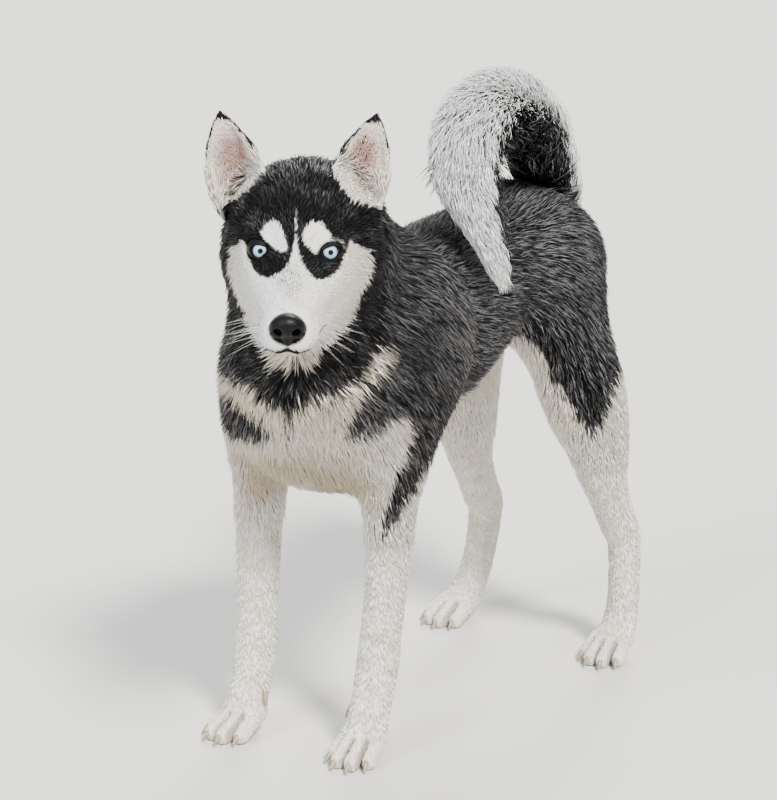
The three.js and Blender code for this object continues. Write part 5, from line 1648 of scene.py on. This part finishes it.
# Whiskers: three rows on each side of the muzzle.
WHISKER_ROWS, WHISKERS_PER_ROW, WHISKER_RADIUS = 3, 5, 0.18
whisker_nodes = Nodes("whisker", 0.35, Specular_IOR_Level=0.4)
whisker_nodes.paint((0.80, 0.78, 0.74), whisker_nodes.noise(60, 1.0, whisker_nodes.place()), 0.9, 1.05)
rng = np.random.default_rng(77)
t = np.linspace(0, 1, 7)[:, None]
strands = []
for side in (-1, 1):
    for row in range(WHISKER_ROWS):
        for column in range(WHISKERS_PER_ROW):
            root = [side * 30.0, -90 + column * 12 + 3 * row, -50 - row * 6.5]
            place = onto_coat(from_head([root]))
            out = unit(gradient(body_coated, place, 0.5))[0] @ HEAD_AXES
            reach = rng.uniform(30, 54) * (1 - 0.1 * row)
            lean = [side * 0.5, 0.35 + 0.15 * column, -0.25 - 0.12 * row]
            way = unit(out + lean + rng.normal(0, 0.12, 3))
            bend = np.array([0, 0.5, -0.45 + rng.normal(0, 0.1)])
            path = to_head(place) - out + way * reach * t + bend * reach * 0.35 * t * t
            strands.append(tube(from_head(path), WHISKER_RADIUS * (1 - 0.75 * t[:, 0]), 3))
whiskers = mesh_object("whiskers", *gathered(strands), whisker_nodes.material)
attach(whiskers, "root")

# Claws: one at the end of each toe, bent downwards, and the dewclaws of the forefeet.
CLAW_LENGTH, CLAW_RADIUS, CLAW_RINGS = 15.0, 2.9, 7
CLAW_OVER_FLOOR = 0.2
claw_nodes = Nodes("claw", 0.38, Specular_IOR_Level=0.45)
claw_nodes.paint((0.34, 0.26, 0.18), claw_nodes.noise(500, 3.0, claw_nodes.place()), 0.65, 1.25)
claws = []
for x, y, toe_out, dewclaw in FEET:
    c, s = cos_sin(toe_out)
    spots = [([tx * 1.04, ty - r * 0.45, TOE_HEIGHT + 2.2], tx * 0.010, 0.30) for tx, ty, r in TOES]
    if dewclaw:
        spots.append(([dewclaw * 21, 24, 50], dewclaw * 0.4, 1.0))
    for place, fan, dip in spots:
        t = np.linspace(0, 1, CLAW_RINGS)
        angle = dip + 0.75 * t
        steps = np.stack([math.sin(fan) * np.ones(CLAW_RINGS), -np.cos(angle), -np.sin(angle)], 1)
        steps = steps * CLAW_LENGTH / (CLAW_RINGS - 1)
        path = np.array(place) + np.cumsum(steps, axis=0) - steps[0]
        points, faces = tube(path, CLAW_RADIUS * (1 - t ** 1.6) ** 0.8 + 0.25, 8)
        ahead, over = points[:, 1], np.maximum(points[:, 2], CLAW_OVER_FLOOR)
        points = np.stack([c * points[:, 0] - s * ahead + x, s * points[:, 0] + c * ahead + y, over], 1)
        claws.append((points, faces))
claw = mesh_object("claws", *gathered(claws), claw_nodes.material)
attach(claw, "root")

# Floor, lights and camera
floor_nodes = Nodes("floor", 0.9, Specular_IOR_Level=0.1)
floor_nodes.shader.inputs["Base Color"].default_value = (0.62, 0.61, 0.59, 1)
FLOOR_HALF = 25.0
floor_mesh = bpy.data.meshes.new("floor")
floor_corners = [(x * FLOOR_HALF, y * FLOOR_HALF, 0) for x, y in ((-1, -1), (1, -1), (1, 1), (-1, 1))]
floor_mesh.from_pydata(floor_corners, [], [(0, 1, 2, 3)])
floor_mesh.materials.append(floor_nodes.material)
floor = added("floor", floor_mesh)

world = bpy.data.worlds.new("studio")
world.use_nodes = True
background = world.node_tree.nodes["Background"].inputs
background["Color"].default_value = (0.80, 0.84, 0.90, 1)
background["Strength"].default_value = 0.95
bpy.context.scene.world = world


def sun(name, azimuth, elevation, softness, strength, colour):
    """A soft lamp, far away: azimuth 0 is in front of the dog and 90 on its left."""
    data = bpy.data.lights.new(name, "SUN")
    data.angle, data.energy, data.color = math.radians(softness), strength, colour
    ahead, aside = cos_sin(azimuth)
    level, rise = cos_sin(elevation)
    towards = Vector((aside * level, -ahead * level, rise))
    made = added(name, data)
    made.location = towards * 5
    made.rotation_mode = "QUATERNION"
    made.rotation_quaternion = (-towards).to_track_quat("-Z", "Y")


sun("key", 62, 50, 12, 7.4, (1.0, 0.97, 0.92))
sun("fill", -8, 34, 24, 2.3, (0.93, 0.96, 1.0))
sun("rim", 205, 42, 20, 3.0, (1.0, 0.97, 0.92))

camera_data = bpy.data.cameras.new("camera")
camera_data.sensor_fit = "HORIZONTAL"
camera_data.sensor_width = 36.0
camera_data.lens = FOCAL * camera_data.sensor_width / PHOTO_WIDTH
camera = added("camera", camera_data)
axes = Matrix((camera_right, camera_up, -camera_ahead)).transposed()
camera.matrix_world = Matrix.Translation(Vector(to_row(camera_place))) @ axes.to_4x4()
camera_data.clip_start, camera_data.clip_end = 0.05, 50
bpy.context.scene.camera = camera
